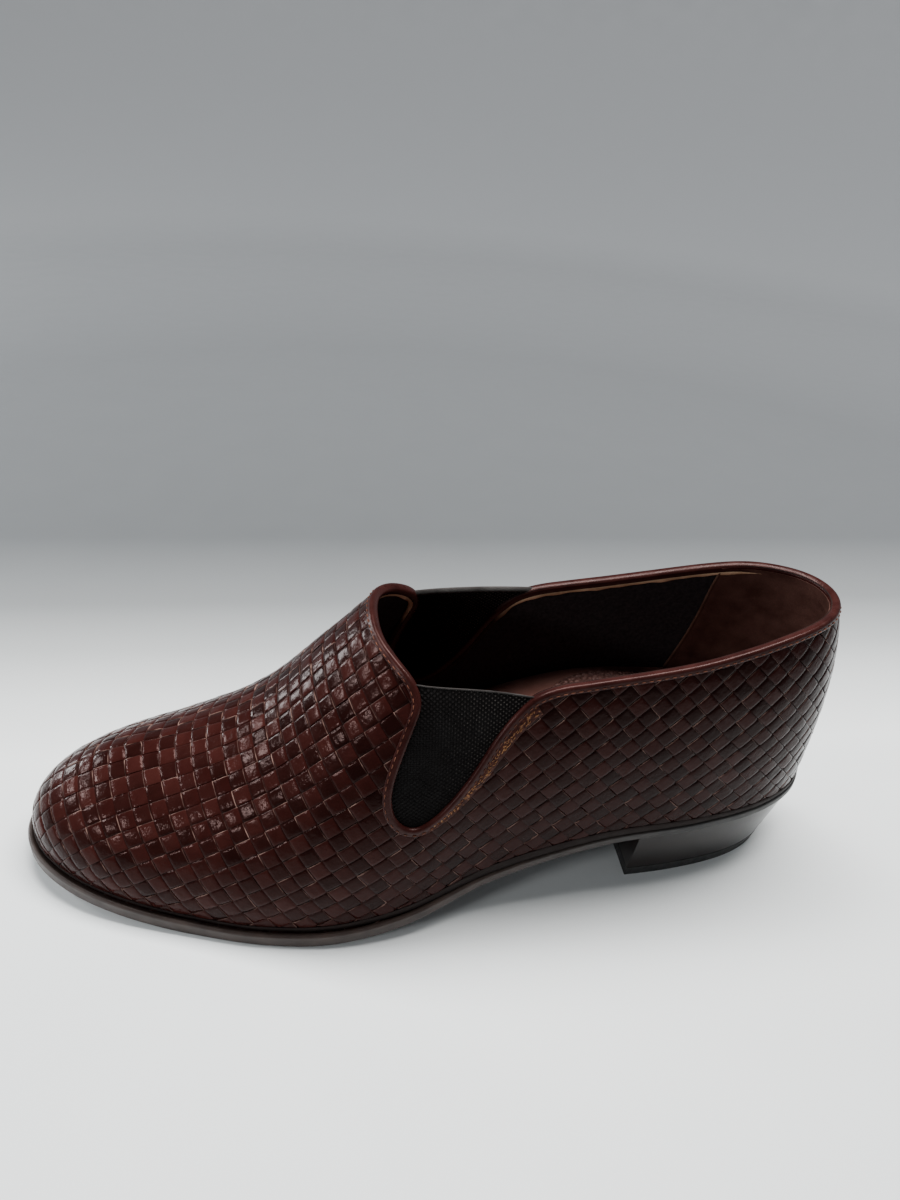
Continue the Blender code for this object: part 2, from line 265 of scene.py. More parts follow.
def throat_curve(first_row, last_row, steps):
    rows = np.array(THROAT, float)
    length = lengths(rows)
    marks = []
    for row in range(first_row, last_row):
        marks += list(np.linspace(length[row], length[row + 1], steps, endpoint=False))
    marks.append(length[last_row])
    return np.stack([smooth_through(length, rows[:, i], marks) for i in range(2)], -1)


EDGE_LINE = throat_curve(0, len(THROAT) - 1, 8)
OPENING = np.concatenate([EDGE_LINE, [(THROAT[-1][0], CUT_TOP), (THROAT[0][0], CUT_TOP)]])


def in_outline(flat, outline):
    x, y = flat[..., 0], flat[..., 1]
    inside = np.zeros(x.shape, bool)
    for (x1, y1), (x2, y2) in zip(outline, np.roll(outline, -1, axis=0)):
        if y1 == y2:
            continue
        crosses = (y1 > y) != (y2 > y)
        inside ^= crosses & (x < (x2 - x1) * (y - y1) / (y2 - y1) + x1)
    return inside


def nearest_on_line(flat, line):
    """Nearest point of an open line and the distance to it."""
    first, second = line[:-1], line[1:]
    run = second - first
    part = ((flat[:, None, :] - first) * run).sum(-1) / (run * run).sum(-1)
    spot = first + np.clip(part, 0, 1)[..., None] * run
    away = np.linalg.norm(flat[:, None, :] - spot, axis=-1)
    best = away.argmin(axis=1)
    pick = np.arange(len(flat))
    return spot[pick, best], away[pick, best]


class Chart:
    """A flat drawing of the skin that keeps, at each corner, the place on the last."""

    def __init__(self, flat, corners, places):
        self.flat = flat
        self.corners = corners
        self.places = places
        spots = np.column_stack([flat, np.zeros(len(flat))])
        self.tree = BVHTree.FromPolygons(spots.tolist(), corners.tolist())

    def find(self, wanted, reach=FAR):
        """Places of the wanted points and how far each lies outside the drawing."""
        count = len(wanted)
        face = np.zeros(count, int)
        spot = np.array(wanted, float)
        away = np.full(count, np.inf)
        for i, (x, y) in enumerate(wanted.tolist()):
            hit, _, number, distance = self.tree.find_nearest((x, y, 0.0), reach)
            if number is not None:
                face[i] = number
                spot[i] = hit[0], hit[1]
                away[i] = distance
        a, b, c = (self.flat[self.corners[face, k]] for k in range(3))
        ab, ac, ap = b - a, c - a, spot - a
        whole = flat_cross(ab, ac)
        second = flat_cross(ap, ac) / whole
        third = flat_cross(ab, ap) / whole
        share = np.stack([1 - second - third, second, third], -1)
        return (self.places[face] * share[..., None]).sum(axis=1), away


def grid_quads(rows, columns):
    number = np.arange(rows * columns).reshape(rows, columns)
    corners = [number[:-1, :-1], number[1:, :-1], number[1:, 1:], number[:-1, 1:]]
    return np.stack([corner.ravel() for corner in corners], -1)


def split(quads):
    return np.concatenate([quads[:, [0, 1, 2]], quads[:, [0, 2, 3]]])


def side_chart(side, inset):
    """One side of the last as it is seen from the side."""
    turns = np.linspace(0, 1, CHART_TURNS)
    turn, rise = np.meshgrid(turns, np.linspace(0, 1, CHART_RISES), indexing="ij")
    flat = side_view(last_point(turn, side, rise, inset)).reshape(-1, 2)
    corners = split(grid_quads(*turn.shape))
    a, b, c = (flat[corners[:, k]] for k in range(3))
    corners = corners[np.abs(flat_cross(b - a, c - a)) > SLIVER]
    return Chart(flat, corners, np.stack([turn.ravel(), rise.ravel()], -1)[corners])


def laid_triangles(points, corners):
    """Corners of each triangle in its own plane, with the lie of the long strips as first axis."""
    a, b, c = (points[corners[:, k]] for k in range(3))
    normal = unit(np.cross(b - a, c - a))
    reach, degrees = np.array(STRIP_CLIMB, float).T
    climb = np.radians(np.interp(LENGTH / 2 - (a + b + c)[:, 0] / 3, reach, degrees))
    lie = np.stack([-np.cos(climb), 0 * climb, -np.sin(climb)], -1)
    lie = unit(lie - (lie * normal).sum(-1, keepdims=True) * normal)
    over = np.cross(normal, lie)
    return np.stack([np.stack([((p - a) * e).sum(-1) for e in (lie, over)], -1) for p in (a, b, c)], 1)


def solve(apply, right, scale, found):
    """Conjugate gradients from a first guess, for both columns at once."""
    rest = right - apply(found)
    ready = rest / scale
    way = ready.copy()
    now = (rest * ready).sum(axis=0)
    goal = SOLVE_GOAL * (right * right / scale).sum(axis=0)
    for _ in range(SOLVE_STEPS):
        if (now <= goal).all():
            break
        image = apply(way)
        step = now / np.maximum((way * image).sum(axis=0), TINY)
        found = found + step * way
        rest = rest - step * image
        ready = rest / scale
        after = (rest * ready).sum(axis=0)
        way = ready + after / np.maximum(now, TINY) * way
        now = after
    return found


def flatten(points, corners, pin):
    """Lays a curved sheet flat with as little stretch as possible, starting from the strips' lie."""
    local = laid_triangles(points, corners)
    weights = []
    for k in range(3):
        u, v = (local[:, (k + n) % 3] - local[:, k] for n in (1, 2))
        weights.append(np.clip((u * v).sum(-1) / np.abs(flat_cross(u, v)) / 2, *WEIGHT_LIMITS))
    weight = np.concatenate(weights)
    first, second = (np.concatenate([corners[:, (k + n) % 3] for k in range(3)]) for n in (1, 2))
    edge = np.concatenate([local[:, (k + 1) % 3] - local[:, (k + 2) % 3] for k in range(3)])
    count = len(points)

    def gather(pull):
        return np.stack([
            np.bincount(first, pull[:, i], count) - np.bincount(second, pull[:, i], count) for i in range(2)
        ], -1)

    def apply(flat):
        out = gather(weight[:, None] * (flat[first] - flat[second]))
        out[pin] += flat[pin]
        return out

    scale = np.bincount(first, weight, count) + np.bincount(second, weight, count)
    scale[pin] += 1
    inverse = np.linalg.inv(np.stack([local[:, 1], local[:, 2]], -1))
    angle = np.zeros(len(corners))
    flat = np.zeros((count, 2))
    for _ in range(FLATTEN_ROUNDS):
        cosine, sine = np.tile(np.cos(angle), 3), np.tile(np.sin(angle), 3)
        run = cosine * edge[:, 0] - sine * edge[:, 1]
        climb = sine * edge[:, 0] + cosine * edge[:, 1]
        flat = solve(apply, gather(weight[:, None] * np.stack([run, climb], -1)), scale[:, None], flat)
        a, b, c = (flat[corners[:, k]] for k in range(3))
        bent = np.stack([b - a, c - a], -1) @ inverse
        angle = np.arctan2(bent[:, 1, 0] - bent[:, 0, 1], bent[:, 0, 0] + bent[:, 1, 1])
    return flat


def weave_chart():
    """The upper as one sheet laid flat, with the vamp's centre line along the first axis."""
    turns = np.linspace(0, 1, SHEET_TURNS + 1)
    widths = np.concatenate([[-2, -1.5], np.linspace(-1, 1, 2 * SHEET_RISES + 1), [1.5, 2]])
    turn, across = np.meshgrid(turns, widths, indexing="ij")
    points = skin_point(turn, across)
    is_cut = in_outline(side_view(points), OPENING).ravel()
    quads = grid_quads(*turn.shape)
    corners = split(quads[~is_cut[quads].all(axis=1)])
    number = np.arange(turn.size).reshape(turn.shape)
    welded = number.copy()
    welded[-1] = np.where(widths > 0, number[-1][::-1], number[-1])
    welded = welded.ravel()
    joined = welded[corners]
    is_whole = (joined != np.roll(joined, -1, axis=1)).all(axis=1)
    corners, joined = corners[is_whole], joined[is_whole]
    used, compact = np.unique(joined, return_inverse=True)
    compact = compact.reshape(joined.shape)
    centre = number[:, len(widths) // 2]
    centre = centre[np.isin(centre, used)]
    line = np.searchsorted(used, centre)
    flat = flatten(points.reshape(-1, 3)[used], compact, line[0])
    run = unit(flat[line[-1]] - flat[line[0]])
    flat = (flat - flat[line[0]]) @ np.array([[run[0], -run[1]], [run[1], run[0]]])
    places = np.stack([turn.ravel(), across.ravel()], -1)[corners]
    return Chart(flat, compact, places)


def dress(mesh, materials, numbers=None):
    """Gives a mesh its materials, and each face its number among them."""
    mesh.materials.clear()
    for material in materials:
        mesh.materials.append(material)
    if numbers is not None:
        mesh.polygons.foreach_set("material_index", np.asarray(numbers, np.int32))


def new_mesh(name, points, faces, materials, numbers=None):
    """Mesh from points in millimetres."""
    mesh = bpy.data.meshes.new(name)
    mesh.from_pydata(((np.asarray(points) - MIDDLE) * MM).tolist(), [], faces)
    dress(mesh, materials, numbers)
    return mesh


def linked(name, data):
    """Object in the scene that shows the given data."""
    made = bpy.data.objects.new(name, data)
    bpy.context.collection.objects.link(made)
    return made


def add_piece(name, mesh, node=None, sharp=None):
    """Adds one piece and lets it ride on the shoe."""
    mesh.shade_smooth()
    if sharp is not None:
        mesh.set_sharp_from_angle(angle=math.radians(sharp))
    piece = linked(name, mesh)
    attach(piece, "root")
    if node is not None:
        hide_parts(node)
    return piece


def add_mesh(name, points, faces, materials, body_slot, node=None, sharp=None, numbers=None):
    return add_piece(name, new_mesh(name, points, faces, materials, numbers), node, sharp)


def closed_body(rings, faces):
    """Points and faces, all faces turned over if the volume they enclose comes out negative."""
    points = np.asarray(rings).reshape(-1, 3)
    volume = 0.0
    for face in faces:
        corner = points[list(face)]
        volume += (corner[0] * np.cross(corner[1:-1], corner[2:]).sum(axis=0)).sum()
    return points, [face[::-1] for face in faces] if volume < 0 else faces


def slab(top, bottom, keep):
    """Closed body between two grids of points, over the cells that are kept."""
    rows, columns = top.shape[:2]
    number = np.arange(rows * columns).reshape(rows, columns)
    below = number + rows * columns
    faces = []
    padded = np.pad(keep, 1)
    for i, j in np.argwhere(keep).tolist():
        ring = [(i, j), (i + 1, j), (i + 1, j + 1), (i, j + 1)]
        faces.append(tuple(int(number[c]) for c in ring))
        faces.append(tuple(int(below[c]) for c in reversed(ring)))
        beside = (padded[i + 1, j], padded[i + 2, j + 1], padded[i + 1, j + 2], padded[i, j + 1])
        for k, is_kept in enumerate(beside):
            if not is_kept:
                p, q = ring[k], ring[(k + 1) % 4]
                faces.append(tuple(int(v) for v in (number[q], number[p], below[p], below[q])))
    points = np.concatenate([top.reshape(-1, 3), bottom.reshape(-1, 3)])
    used = sorted({v for face in faces for v in face})
    order = {v: n for n, v in enumerate(used)}
    return closed_body(points[used], [tuple(order[v] for v in face) for face in faces])


def has_before(keep):
    """True where the row before in the same strip is kept too."""
    before = np.zeros_like(keep)
    before[:, 1:] = keep[:, :-1]
    return before


def has_after(keep):
    return has_before(keep[:, ::-1])[:, ::-1]


def on_skin(chart, charts, flat):
    """Takes rows of strip points from the chart to the skin, those past the opening to its edge.
    Gives the rows to keep, the points and their normals."""
    shape = flat.shape[:3]
    places, away = chart.find(flat.reshape(-1, 2), STRIP_SEARCH)
    near = np.isfinite(away)
    points = np.zeros((len(away), 3))
    points[near] = skin_point(places[near, 0], places[near, 1])
    is_cut = near & in_outline(side_view(points), OPENING)
    keep = ((away < ON_CHART) & ~is_cut).reshape(shape).any(axis=2)
    keep &= has_before(keep) | has_after(keep)
    wide = np.broadcast_to(keep[..., None], shape).ravel()
    for side in (-1, 1):
        pick = np.flatnonzero(wide & is_cut & ((places[:, 1] > 0) == (side > 0)))
        edge, _ = nearest_on_line(side_view(points[pick]), EDGE_LINE)
        found, _ = charts[side].find(edge)
        places[pick, 0] = found[:, 0]
        places[pick, 1] = side * (1 - found[:, 1])
    turn, across = (np.where(wide, places[:, i], 0.5) for i in (0, 1))
    return keep, skin_point(turn, across).reshape(*shape, 3), skin_normal(turn, across).reshape(*shape, 3)


def strip_faces(keep, ring_size, lit_edge_on_right):
    """Faces of all the strips, and for each face 1 if it gets the light cut-edge colour: the ends, and the
    one long edge that faces up into the light, as painted highlight.
    """
    row = np.full(keep.shape, -1)
    row[keep] = np.arange(keep.sum())
    joins = keep[:, :-1] & keep[:, 1:]
    start, end = row[:, :-1][joins] * ring_size, row[:, 1:][joins] * ring_size
    lit_edge_on_right = lit_edge_on_right[np.nonzero(joins)[0]]
    faces, numbers = [], []
    for k in range(ring_size):
        after = (k + 1) % ring_size
        faces += np.stack([start + k, start + after, end + after, end + k], -1).tolist()
        numbers += np.where(lit_edge_on_right, k in LIT_CUT_RIGHT, k in LIT_CUT_LEFT).astype(int).tolist()
    starts = row[keep & ~has_before(keep)] * ring_size
    ends = row[keep & ~has_after(keep)] * ring_size
    faces += [list(range(s + ring_size - 1, s - 1, -1)) for s in starts.tolist()]
    faces += [list(range(s, s + ring_size)) for s in ends.tolist()]
    return faces, numbers + [1] * (len(starts) + len(ends))


def weave_family(chart, charts, is_cross):
    """All the strips of one direction as one mesh: points, faces, face numbers and tones."""
    run_axis = 1 if is_cross else 0
    low = np.floor((chart.flat.min(axis=0) - PITCH) / PITCH).astype(int)
    high = np.ceil((chart.flat.max(axis=0) + PITCH) / PITCH).astype(int)
    pads = np.arange(low[run_axis], high[run_axis])
    strips = np.arange(low[1 - run_axis], high[1 - run_axis])
    runs = (pads[:, None] + 0.5 + PAD_STATIONS).ravel()
    pad_of_run = np.repeat(np.arange(len(pads)), len(PAD_STATIONS))
    waver = RANDOM.uniform(0, 2 * np.pi, (2, len(strips), 1))
    drift = sum(
        far * np.sin(runs * PITCH / length + start) for (far, length), start in zip(STRIP_DRIFTS, waver)
    )
    width = STRIP_WIDTH * RANDOM.uniform(STRIP_NARROWEST, 1.0, (len(strips), 1, 1))
    offset = (strips[:, None] + 0.5) * PITCH + drift
    sideways = offset[..., None] + STRIP_STATIONS * width
    lengthways = np.broadcast_to((runs * PITCH)[None, :, None], sideways.shape)
    flat = np.stack([sideways, lengthways] if is_cross else [lengthways, sideways], -1)
    keep, base, normal = on_skin(chart, charts, flat)
    parity = np.where((strips % 2 == 0) ^ is_cross, 1.0, -1.0)[:, None]
    wave = parity * np.cos(np.pi * (runs - 0.5))
    over = np.clip(wave, 0, 1)
    each_pad = (len(strips), len(pads))
    lift = STRIP_WAVE * np.tanh(WAVE_SHARPNESS * (wave - WAVE_LEAN))
    middle = STRIP_SINK + lift + RANDOM.normal(0, PAD_LIFT, each_pad)[:, pad_of_run] * over
    tilt = RANDOM.normal(0, PAD_TILT, each_pad)[:, pad_of_run] * over
    top = middle[..., None] + STRIP_THICK / 2 - STRIP_DROPS + tilt[..., None] * 2 * STRIP_STATIONS
    bottom = middle - STRIP_THICK / 2
    upper = base + normal * top[..., None]
    lower = (base + normal * bottom[..., None, None])[:, :, [-1, 0]]
    rings = np.concatenate([upper, lower], axis=2)[keep]
    ring_size = rings.shape[1]
    # Painted highlight: the light cut-edge colour goes on the right edge of the lateral long strips and on
    # the left edge of all others, the edges that face up into the light
    faces, numbers = strip_faces(keep, ring_size, (strips < 0) & (not is_cross))
    # The two families wind round their strips in opposite senses
    if is_cross:
        faces = [face[::-1] for face in faces]
    tone = RANDOM.normal(0, PAD_TONE, each_pad) + RANDOM.normal(0, STRIP_TONE, (len(strips), 1))
    tones = np.repeat(tone[:, pad_of_run][keep], ring_size)
    return rings.reshape(-1, 3), faces, numbers, tones


def edge_path(charts):
    """Loop round the opening on the outer skin: points, normals and the way into the leather."""
    line = throat_curve(0, len(THROAT) - 1, 80)
    halves = []
    for side in (-1, 1):
        places, away = charts[side].find(line)
        inside = np.flatnonzero(away < 0.01)
        places = places[inside[0] - 1:inside[-1] + 2]
        places[0, 0] = 0.0
        places[-1, 1] = 1.0
        halves.append(np.stack([places[:, 0], side * (1 - places[:, 1])], -1))
    path = np.concatenate([halves[0], halves[1][::-1][1:-1]])
    points = skin_point(path[:, 0], path[:, 1])
    normals = skin_normal(path[:, 0], path[:, 1])
    closed = np.vstack([points, points[:1]])
    length = lengths(closed)
    marks = np.linspace(0, length[-1], LOOP_STEPS, endpoint=False)
    points = resampled(closed, length, marks)
    normals = resampled(np.vstack([normals, normals[:1]]), length, marks)
    points = eased(points, 2)
    normals = unit(eased(normals, 5))
    tangents = unit(np.roll(points, -1, axis=0) - np.roll(points, 1, axis=0))
    inward = unit(np.cross(normals, tangents))
    if in_outline(side_view(points + 2 * inward), OPENING).mean() > 0.5:
        inward = -inward
    return points, normals, inward, tangents


def resampled(values, length, marks):
    return np.stack([np.interp(marks, length, values[:, i]) for i in range(values.shape[1])], -1)


def eased(values, reach):
    """Running mean round a closed loop."""
    total = values.copy()
    for shift in range(1, reach + 1):
        total = total + np.roll(values, shift, axis=0) + np.roll(values, -shift, axis=0)
    return total / (2 * reach + 1)


def sweep(path, profile, ragged=None):
    """Closed tube round the edge loop. Profile rows: way into the leather, way out of the skin.
    A ragged edge moves the profile's far half in and out."""
    points, normals, inward, _ = path
    rings = points[:, None] + inward[:, None] * profile[:, :1] + normals[:, None] * profile[:, 1:]
    if ragged is not None:
        is_far = profile[:, :1] > profile[:, 0].mean()
        rings = rings + inward[:, None] * ragged[:, None, None] * is_far
    return closed_body(rings, skin_faces(len(points), len(profile), True))


def ribbon(path, profile, picks, taper):
    """Closed strip beside a stretch of the edge loop, narrowed by the taper."""
    points, normals, inward, _ = (part[picks] for part in path)
    start = profile[:, 0].min()
    widths = start + (profile[:, 0] - start) * taper[:, None]
    rings = points[:, None] + inward[:, None] * widths[..., None] + normals[:, None] * profile[:, 1:]
    return closed_body(rings, tube_faces(len(picks), len(profile)))


def round_tube(centres, first, second, sides):
    """Closed tube along a line of centres, with its half-widths given as two ways at each."""
    angle = np.arange(sides)[None, :, None] * 2 * np.pi / sides
    rings = centres[:, None] + first[:, None] * np.cos(angle) + second[:, None] * np.sin(angle)
    return closed_body(rings, tube_faces(len(centres), sides))


def capsules(centres, ways, sides, ups, length, thick):
    """Many short stitches as one mesh."""
    rounds = 6
    stations = np.array([-0.5, -0.36, 0.0, 0.36, 0.5])
    swell = np.array([0.35, 0.85, 1.0, 0.85, 0.35])
    angle = np.arange(rounds)[:, None] * 2 * np.pi / rounds
    arch = thick / 2 * (1 - (2 * stations) ** 2)
    spine = centres[:, None] + ways[:, None] * (stations * length)[:, None] + ups[:, None] * arch[:, None]
    reach = thick / 2 * (np.cos(angle) * sides[:, None] + np.sin(angle) * ups[:, None])
    rings = spine[:, :, None] + swell[:, None, None] * reach[:, None]
    stitch = tube_faces(len(stations), rounds)
    size = len(stations) * rounds
    faces = [tuple(c + n * size for c in face) for n in range(len(centres)) for face in stitch]
    return closed_body(rings, faces)


def round_turns(steps):
    turns = np.linspace(0, 1, steps + 1)
    loop_turn = np.concatenate([turns, turns[-2:0:-1]])
    loop_side = np.concatenate([-np.ones(steps + 1), np.ones(steps - 1)])
    return loop_turn, loop_side


def by_side(turn, side, make):
    return np.where((side < 0)[..., None], make(turn, -1), make(turn, 1))


def ring_faces(first, second, count):
    return [(first + i, first + (i + 1) % count, second + (i + 1) % count, second + i) for i in range(count)]


def skin_faces(rows, size, is_loop=False):
    """Faces between rings of points that follow one another."""
    faces = []
    for row in range(rows if is_loop else rows - 1):
        faces += ring_faces(row * size, (row + 1) % rows * size, size)
    return faces


def tube_faces(rows, size):
    """The same with flat ends."""
    last = (rows - 1) * size
    return skin_faces(rows, size) + [tuple(range(size - 1, -1, -1)), tuple(range(last, last + size))]


def cap_faces(first, steps, size):
    """Faces across a ring whose second half runs back beside its first half."""
    faces = []
    for i in range(steps):
        corners = (i, i + 1, (2 * steps - i - 1) % size, (2 * steps - i) % size)
        faces.append(tuple(dict.fromkeys(first + c for c in corners)))
    return faces


def capped_faces(rows, size, steps):
    start = [face[::-1] for face in cap_faces(0, steps, size)]
    return skin_faces(rows, size) + start + cap_faces((rows - 1) * size, steps, size)


def plan_normals(loop):
    ahead = np.roll(loop, -1, axis=0) - np.roll(loop, 1, axis=0)
    normal = unit(np.stack([ahead[:, 1], -ahead[:, 0]], -1))
    middle = loop[:, :2].mean(axis=0)
    return -normal if ((loop[:, :2] - middle) * normal).sum() < 0 else normal


def bottom_height(turn):
    low = along("feather", turn) - GAP - along("edge_thick", turn)
    level = SOLE_FLAT_BELOW - GAP - along("edge_thick", FLAT_TURN)
    return np.maximum(low - level, 0.0)


def shell_object(name, outer_inset, inner_inset):
    """Hollow form of the last between two insets, open underneath. Inner faces get number 1."""
    turns, sides = round_turns(SHELL_STEPS)
    count = len(turns)
    crown_turns = np.linspace(0, 1, SHELL_STEPS + 1)
    blocks, faces, numbers, starts = [], [], [], []
    for number, inset in enumerate((outer_inset, inner_inset)):
        first = sum(len(block) for block in blocks)
        starts.append(first)
        for rise in np.linspace(0, 1, SHELL_RISES + 1)[:-1]:
            blocks.append(by_side(turns, sides, lambda t, s: last_point(t, s, rise + 0.0 * t, inset)))
        blocks.append(ridge_point(crown_turns) - np.array([0.0, 0.0, inset]))
        skin = [tuple(first + c for c in face) for face in skin_faces(SHELL_RISES, count)]
        last_ring = first + (SHELL_RISES - 1) * count
        crown = last_ring + count
        for i in range(count):
            j = (i + 1) % count
            skin.append((last_ring + i, last_ring + j, crown + min(j, count - j), crown + min(i, count - i)))
        faces += [face[::-1] for face in skin] if number else skin
        numbers += [number] * len(skin)
    faces += ring_faces(starts[1], starts[0], count)
    numbers += [0] * count
    return plain_object(name, *closed_body(np.concatenate(blocks), faces), numbers)


def plain_object(name, points, faces, numbers=None):
    """Object for the Boolean steps, with a bare material for each face number."""
    materials = [bpy.data.materials.new(name + str(n)) for n in range(1 if numbers is None else 2)]
    return linked(name, new_mesh(name, points, faces, materials, numbers))


def prism_object(name, outline):
    """Outline seen from the side, drawn out across the shoe."""
    points = [
        (LENGTH / 2 - from_heel + THROAT_TURN * across, across, height)
        for across in (-CUT_HALF_WIDTH, CUT_HALF_WIDTH) for from_heel, height in outline
    ]
    return plain_object(name, *closed_body(points, tube_faces(2, len(outline))))


def add_carved(name, shell, operation, outline, materials, node=None):
    """Adds a shell cut by an outline, with the face numbers that the cut leaves."""
    cutter = prism_object(name + "_outline", outline)
    step = shell.modifiers.new("cut", "BOOLEAN")
    step.operation = operation
    step.object = cutter
    step.solver = "EXACT"
    graph = bpy.context.evaluated_depsgraph_get()
    mesh = bpy.data.meshes.new_from_object(shell.evaluated_get(graph))
    for old in (shell, cutter):
        bpy.data.objects.remove(old)
    numbers = np.zeros(len(mesh.polygons), np.int32)
    mesh.polygons.foreach_get("material_index", numbers)
    dress(mesh, materials, np.where(numbers < len(materials), numbers, 0))
    add_piece(name, mesh, node, 35)


class Look:
    """A node material with its shader and the few nodes the pieces here need."""

    def __init__(self, name, **values):
        self.material = bpy.data.materials.new(name)
        self.material.use_nodes = True
        self.nodes = self.material.node_tree.nodes
        self.links = self.material.node_tree.links
        self.shader = self.nodes["Principled BSDF"]
        self.coords = self.node("TexCoord", "Object")
        for socket, value in values.items():
            self.feed(self.shader, socket.replace("_", " "), value)

    def feed(self, node, socket, value):
        """Links an input to another node's output, or sets its value."""
        target = node.inputs[socket]
        if isinstance(value, bpy.types.NodeSocket):
            self.links.new(value, target)
        elif target.type == "RGBA":
            target.default_value = (*value, 1.0)
        else:
            target.default_value = value

    def node(self, kind, output, inputs=None, **settings):
        node = self.nodes.new("ShaderNode" + kind)
        for name, value in settings.items():
            setattr(node, name, value)
        for socket, value in (inputs or {}).items():
            self.feed(node, socket, value)
        return node.outputs[output]

    def link(self, output, socket):
        self.feed(self.shader, socket, output)

    def noise(self, scale, detail=2.0, stretch=None):
        place = self.coords
        if stretch is not None:
            place = self.node("Mapping", "Vector", {"Vector": place, "Scale": stretch})
        return self.node("TexNoise", "Fac", {"Vector": place, "Scale": scale, "Detail": detail})

    def axis(self, name):
        return self.node("SeparateXYZ", name, {"Vector": self.coords})

    def math(self, operation, first, second=0.0):
        return self.node("Math", "Value", {0: first, 1: second}, operation=operation)

    def spread(self, value, low, high, new_low, new_high):
        ends = {"From Min": low, "From Max": high, "To Min": new_low, "To Max": new_high}
        return self.node("MapRange", "Result", {"Value": value, **ends})

    def ramp(self, value, stops):
        output = self.node("ValToRGB", "Color", {"Fac": value})
        elements = output.node.color_ramp.elements
        while len(elements) < len(stops):
            elements.new(0.5)
        for element, (place, colour) in zip(elements, stops):
            element.position = place
            element.color = (*colour, 1.0)
        return output

    def mix(self, share, first, second):
        """Inputs 0, 6 and 7 and output 2 of the node are its factor and its colours."""
        return self.node("Mix", 2, {0: share, 6: first, 7: second}, data_type="RGBA")

    def paint(self, value, stops):
        self.link(self.ramp(value, stops), "Base Color")

    def rough(self, scale, detail, low, high):
        self.link(self.spread(self.noise(scale, detail), 0.3, 0.7, low, high), "Roughness")

    def bump(self, height, strength, distance):
        inputs = {"Strength": strength, "Distance": distance, "Height": height}
        normal = self.shader.inputs["Normal"]
        if normal.links:
            inputs["Normal"] = normal.links[0].from_socket
        self.link(self.node("Bump", "Normal", inputs), "Normal")


WARM_GLOSS = (1.0, 0.66, 0.61)


def plain_look(name, colour, rough, grain, **values):
    """Mottled colour, uneven gloss and fine grain, each from a noise of its own.
    Colour: scale, detail, stops. Rough: scale, detail, low, high. Grain: scale, detail, strength, depth."""
    look = Look(name, **values)
    look.paint(look.noise(*colour[:2]), colour[2:])
    look.rough(*rough)
    look.bump(look.noise(*grain[:2]), *grain[2:])
    return look.material


def leather_look(name, dark, light, roughness, grain_scale, grain, coat=0.0):
    return plain_look(
        name, (150, 4.0, (0.3, dark), (0.7, light)), (300, 2.0, roughness - 0.06, roughness + 0.08),
        (grain_scale, 3.0, grain, 0.0003),
        Coat_Weight=coat, Coat_Roughness=0.25, Specular_IOR_Level=0.11, Specular_Tint=WARM_GLOSS,
    )


def strip_look(name, dark, middle, light):
    """Polished leather, glossier towards the toe; each pad has its own tone. Its colour is painted lighter
    and redder towards the toe and darker towards the heel, as painted light.
    """
    look = Look(name, Specular_IOR_Level=0.065, Specular_Tint=WARM_GLOSS)
    tone = look.spread(look.node("Attribute", "Fac", attribute_name="tone"), -2.2, 2.2, 0.0, 1.0)
    mottle = look.math("MULTIPLY", look.noise(190, 4.0), 0.40)
    share = look.math("ADD", look.math("MULTIPLY", tone, 0.65), mottle)
    # Painted light: the colour is lighter towards the toe and darker towards the heel
    share = look.math("ADD", share, look.spread(look.axis("X"), -0.07, 0.05, 0.13, -0.13))
    look.paint(share, ((0.18, dark), (0.52, middle), (0.88, light)))
    worn = look.spread(look.noise(420, 3.0), 0.3, 0.7, 0.13, 0.25)
    polish = look.spread(look.axis("X"), -0.06, 0.01, -0.03, 0.0)
    look.link(look.math("ADD", worn, polish), "Roughness")
    look.bump(look.noise(1150, 3.0), 0.20, 0.0003)
    look.bump(look.noise(420, 2.0), 0.28, 0.0005)
    return look.material


def raw_edge_look():
    """Tan cut leather along the collar, with painted shade that turns it dark lower down, in the notches."""
    look = Look("raw_lining_edge", Specular_IOR_Level=0.11, Specular_Tint=WARM_GLOSS)
    fibre = look.noise(150, 4.0)
    painted_notch_shade = look.ramp(fibre, ((0.3, (0.010, 0.0052, 0.0038)), (0.7, (0.026, 0.0150, 0.0105))))
    tan = look.ramp(fibre, ((0.3, (0.26, 0.150, 0.085)), (0.7, (0.62, 0.42, 0.27))))
    # Painted shade: the edge is dark below about 70 mm and tan above about 80 mm
    look.link(look.mix(look.spread(look.axis("Z"), 0.070, 0.080, 0.0, 1.0), painted_notch_shade, tan), "Base Color")
    look.rough(300, 2.0, 0.69, 0.83)
    look.bump(look.noise(1200, 3.0), 0.6, 0.0003)
    return look.material


def pebble_look():
    look = Look("pebbled_leather", Specular_IOR_Level=0.3)
    cell = look.node("TexVoronoi", "Distance", {"Vector": look.coords, "Scale": 680})
    # Painted highlight on the pebble tops and painted shade in the hollows between them
    look.paint(cell, ((0.05, (0.275, 0.140, 0.118)), (0.55, (0.120, 0.052, 0.043))))
    look.link(look.spread(cell, 0.0, 0.7, 0.30, 0.62), "Roughness")
    look.bump(cell, 1.0, -0.0010)
    return look.material


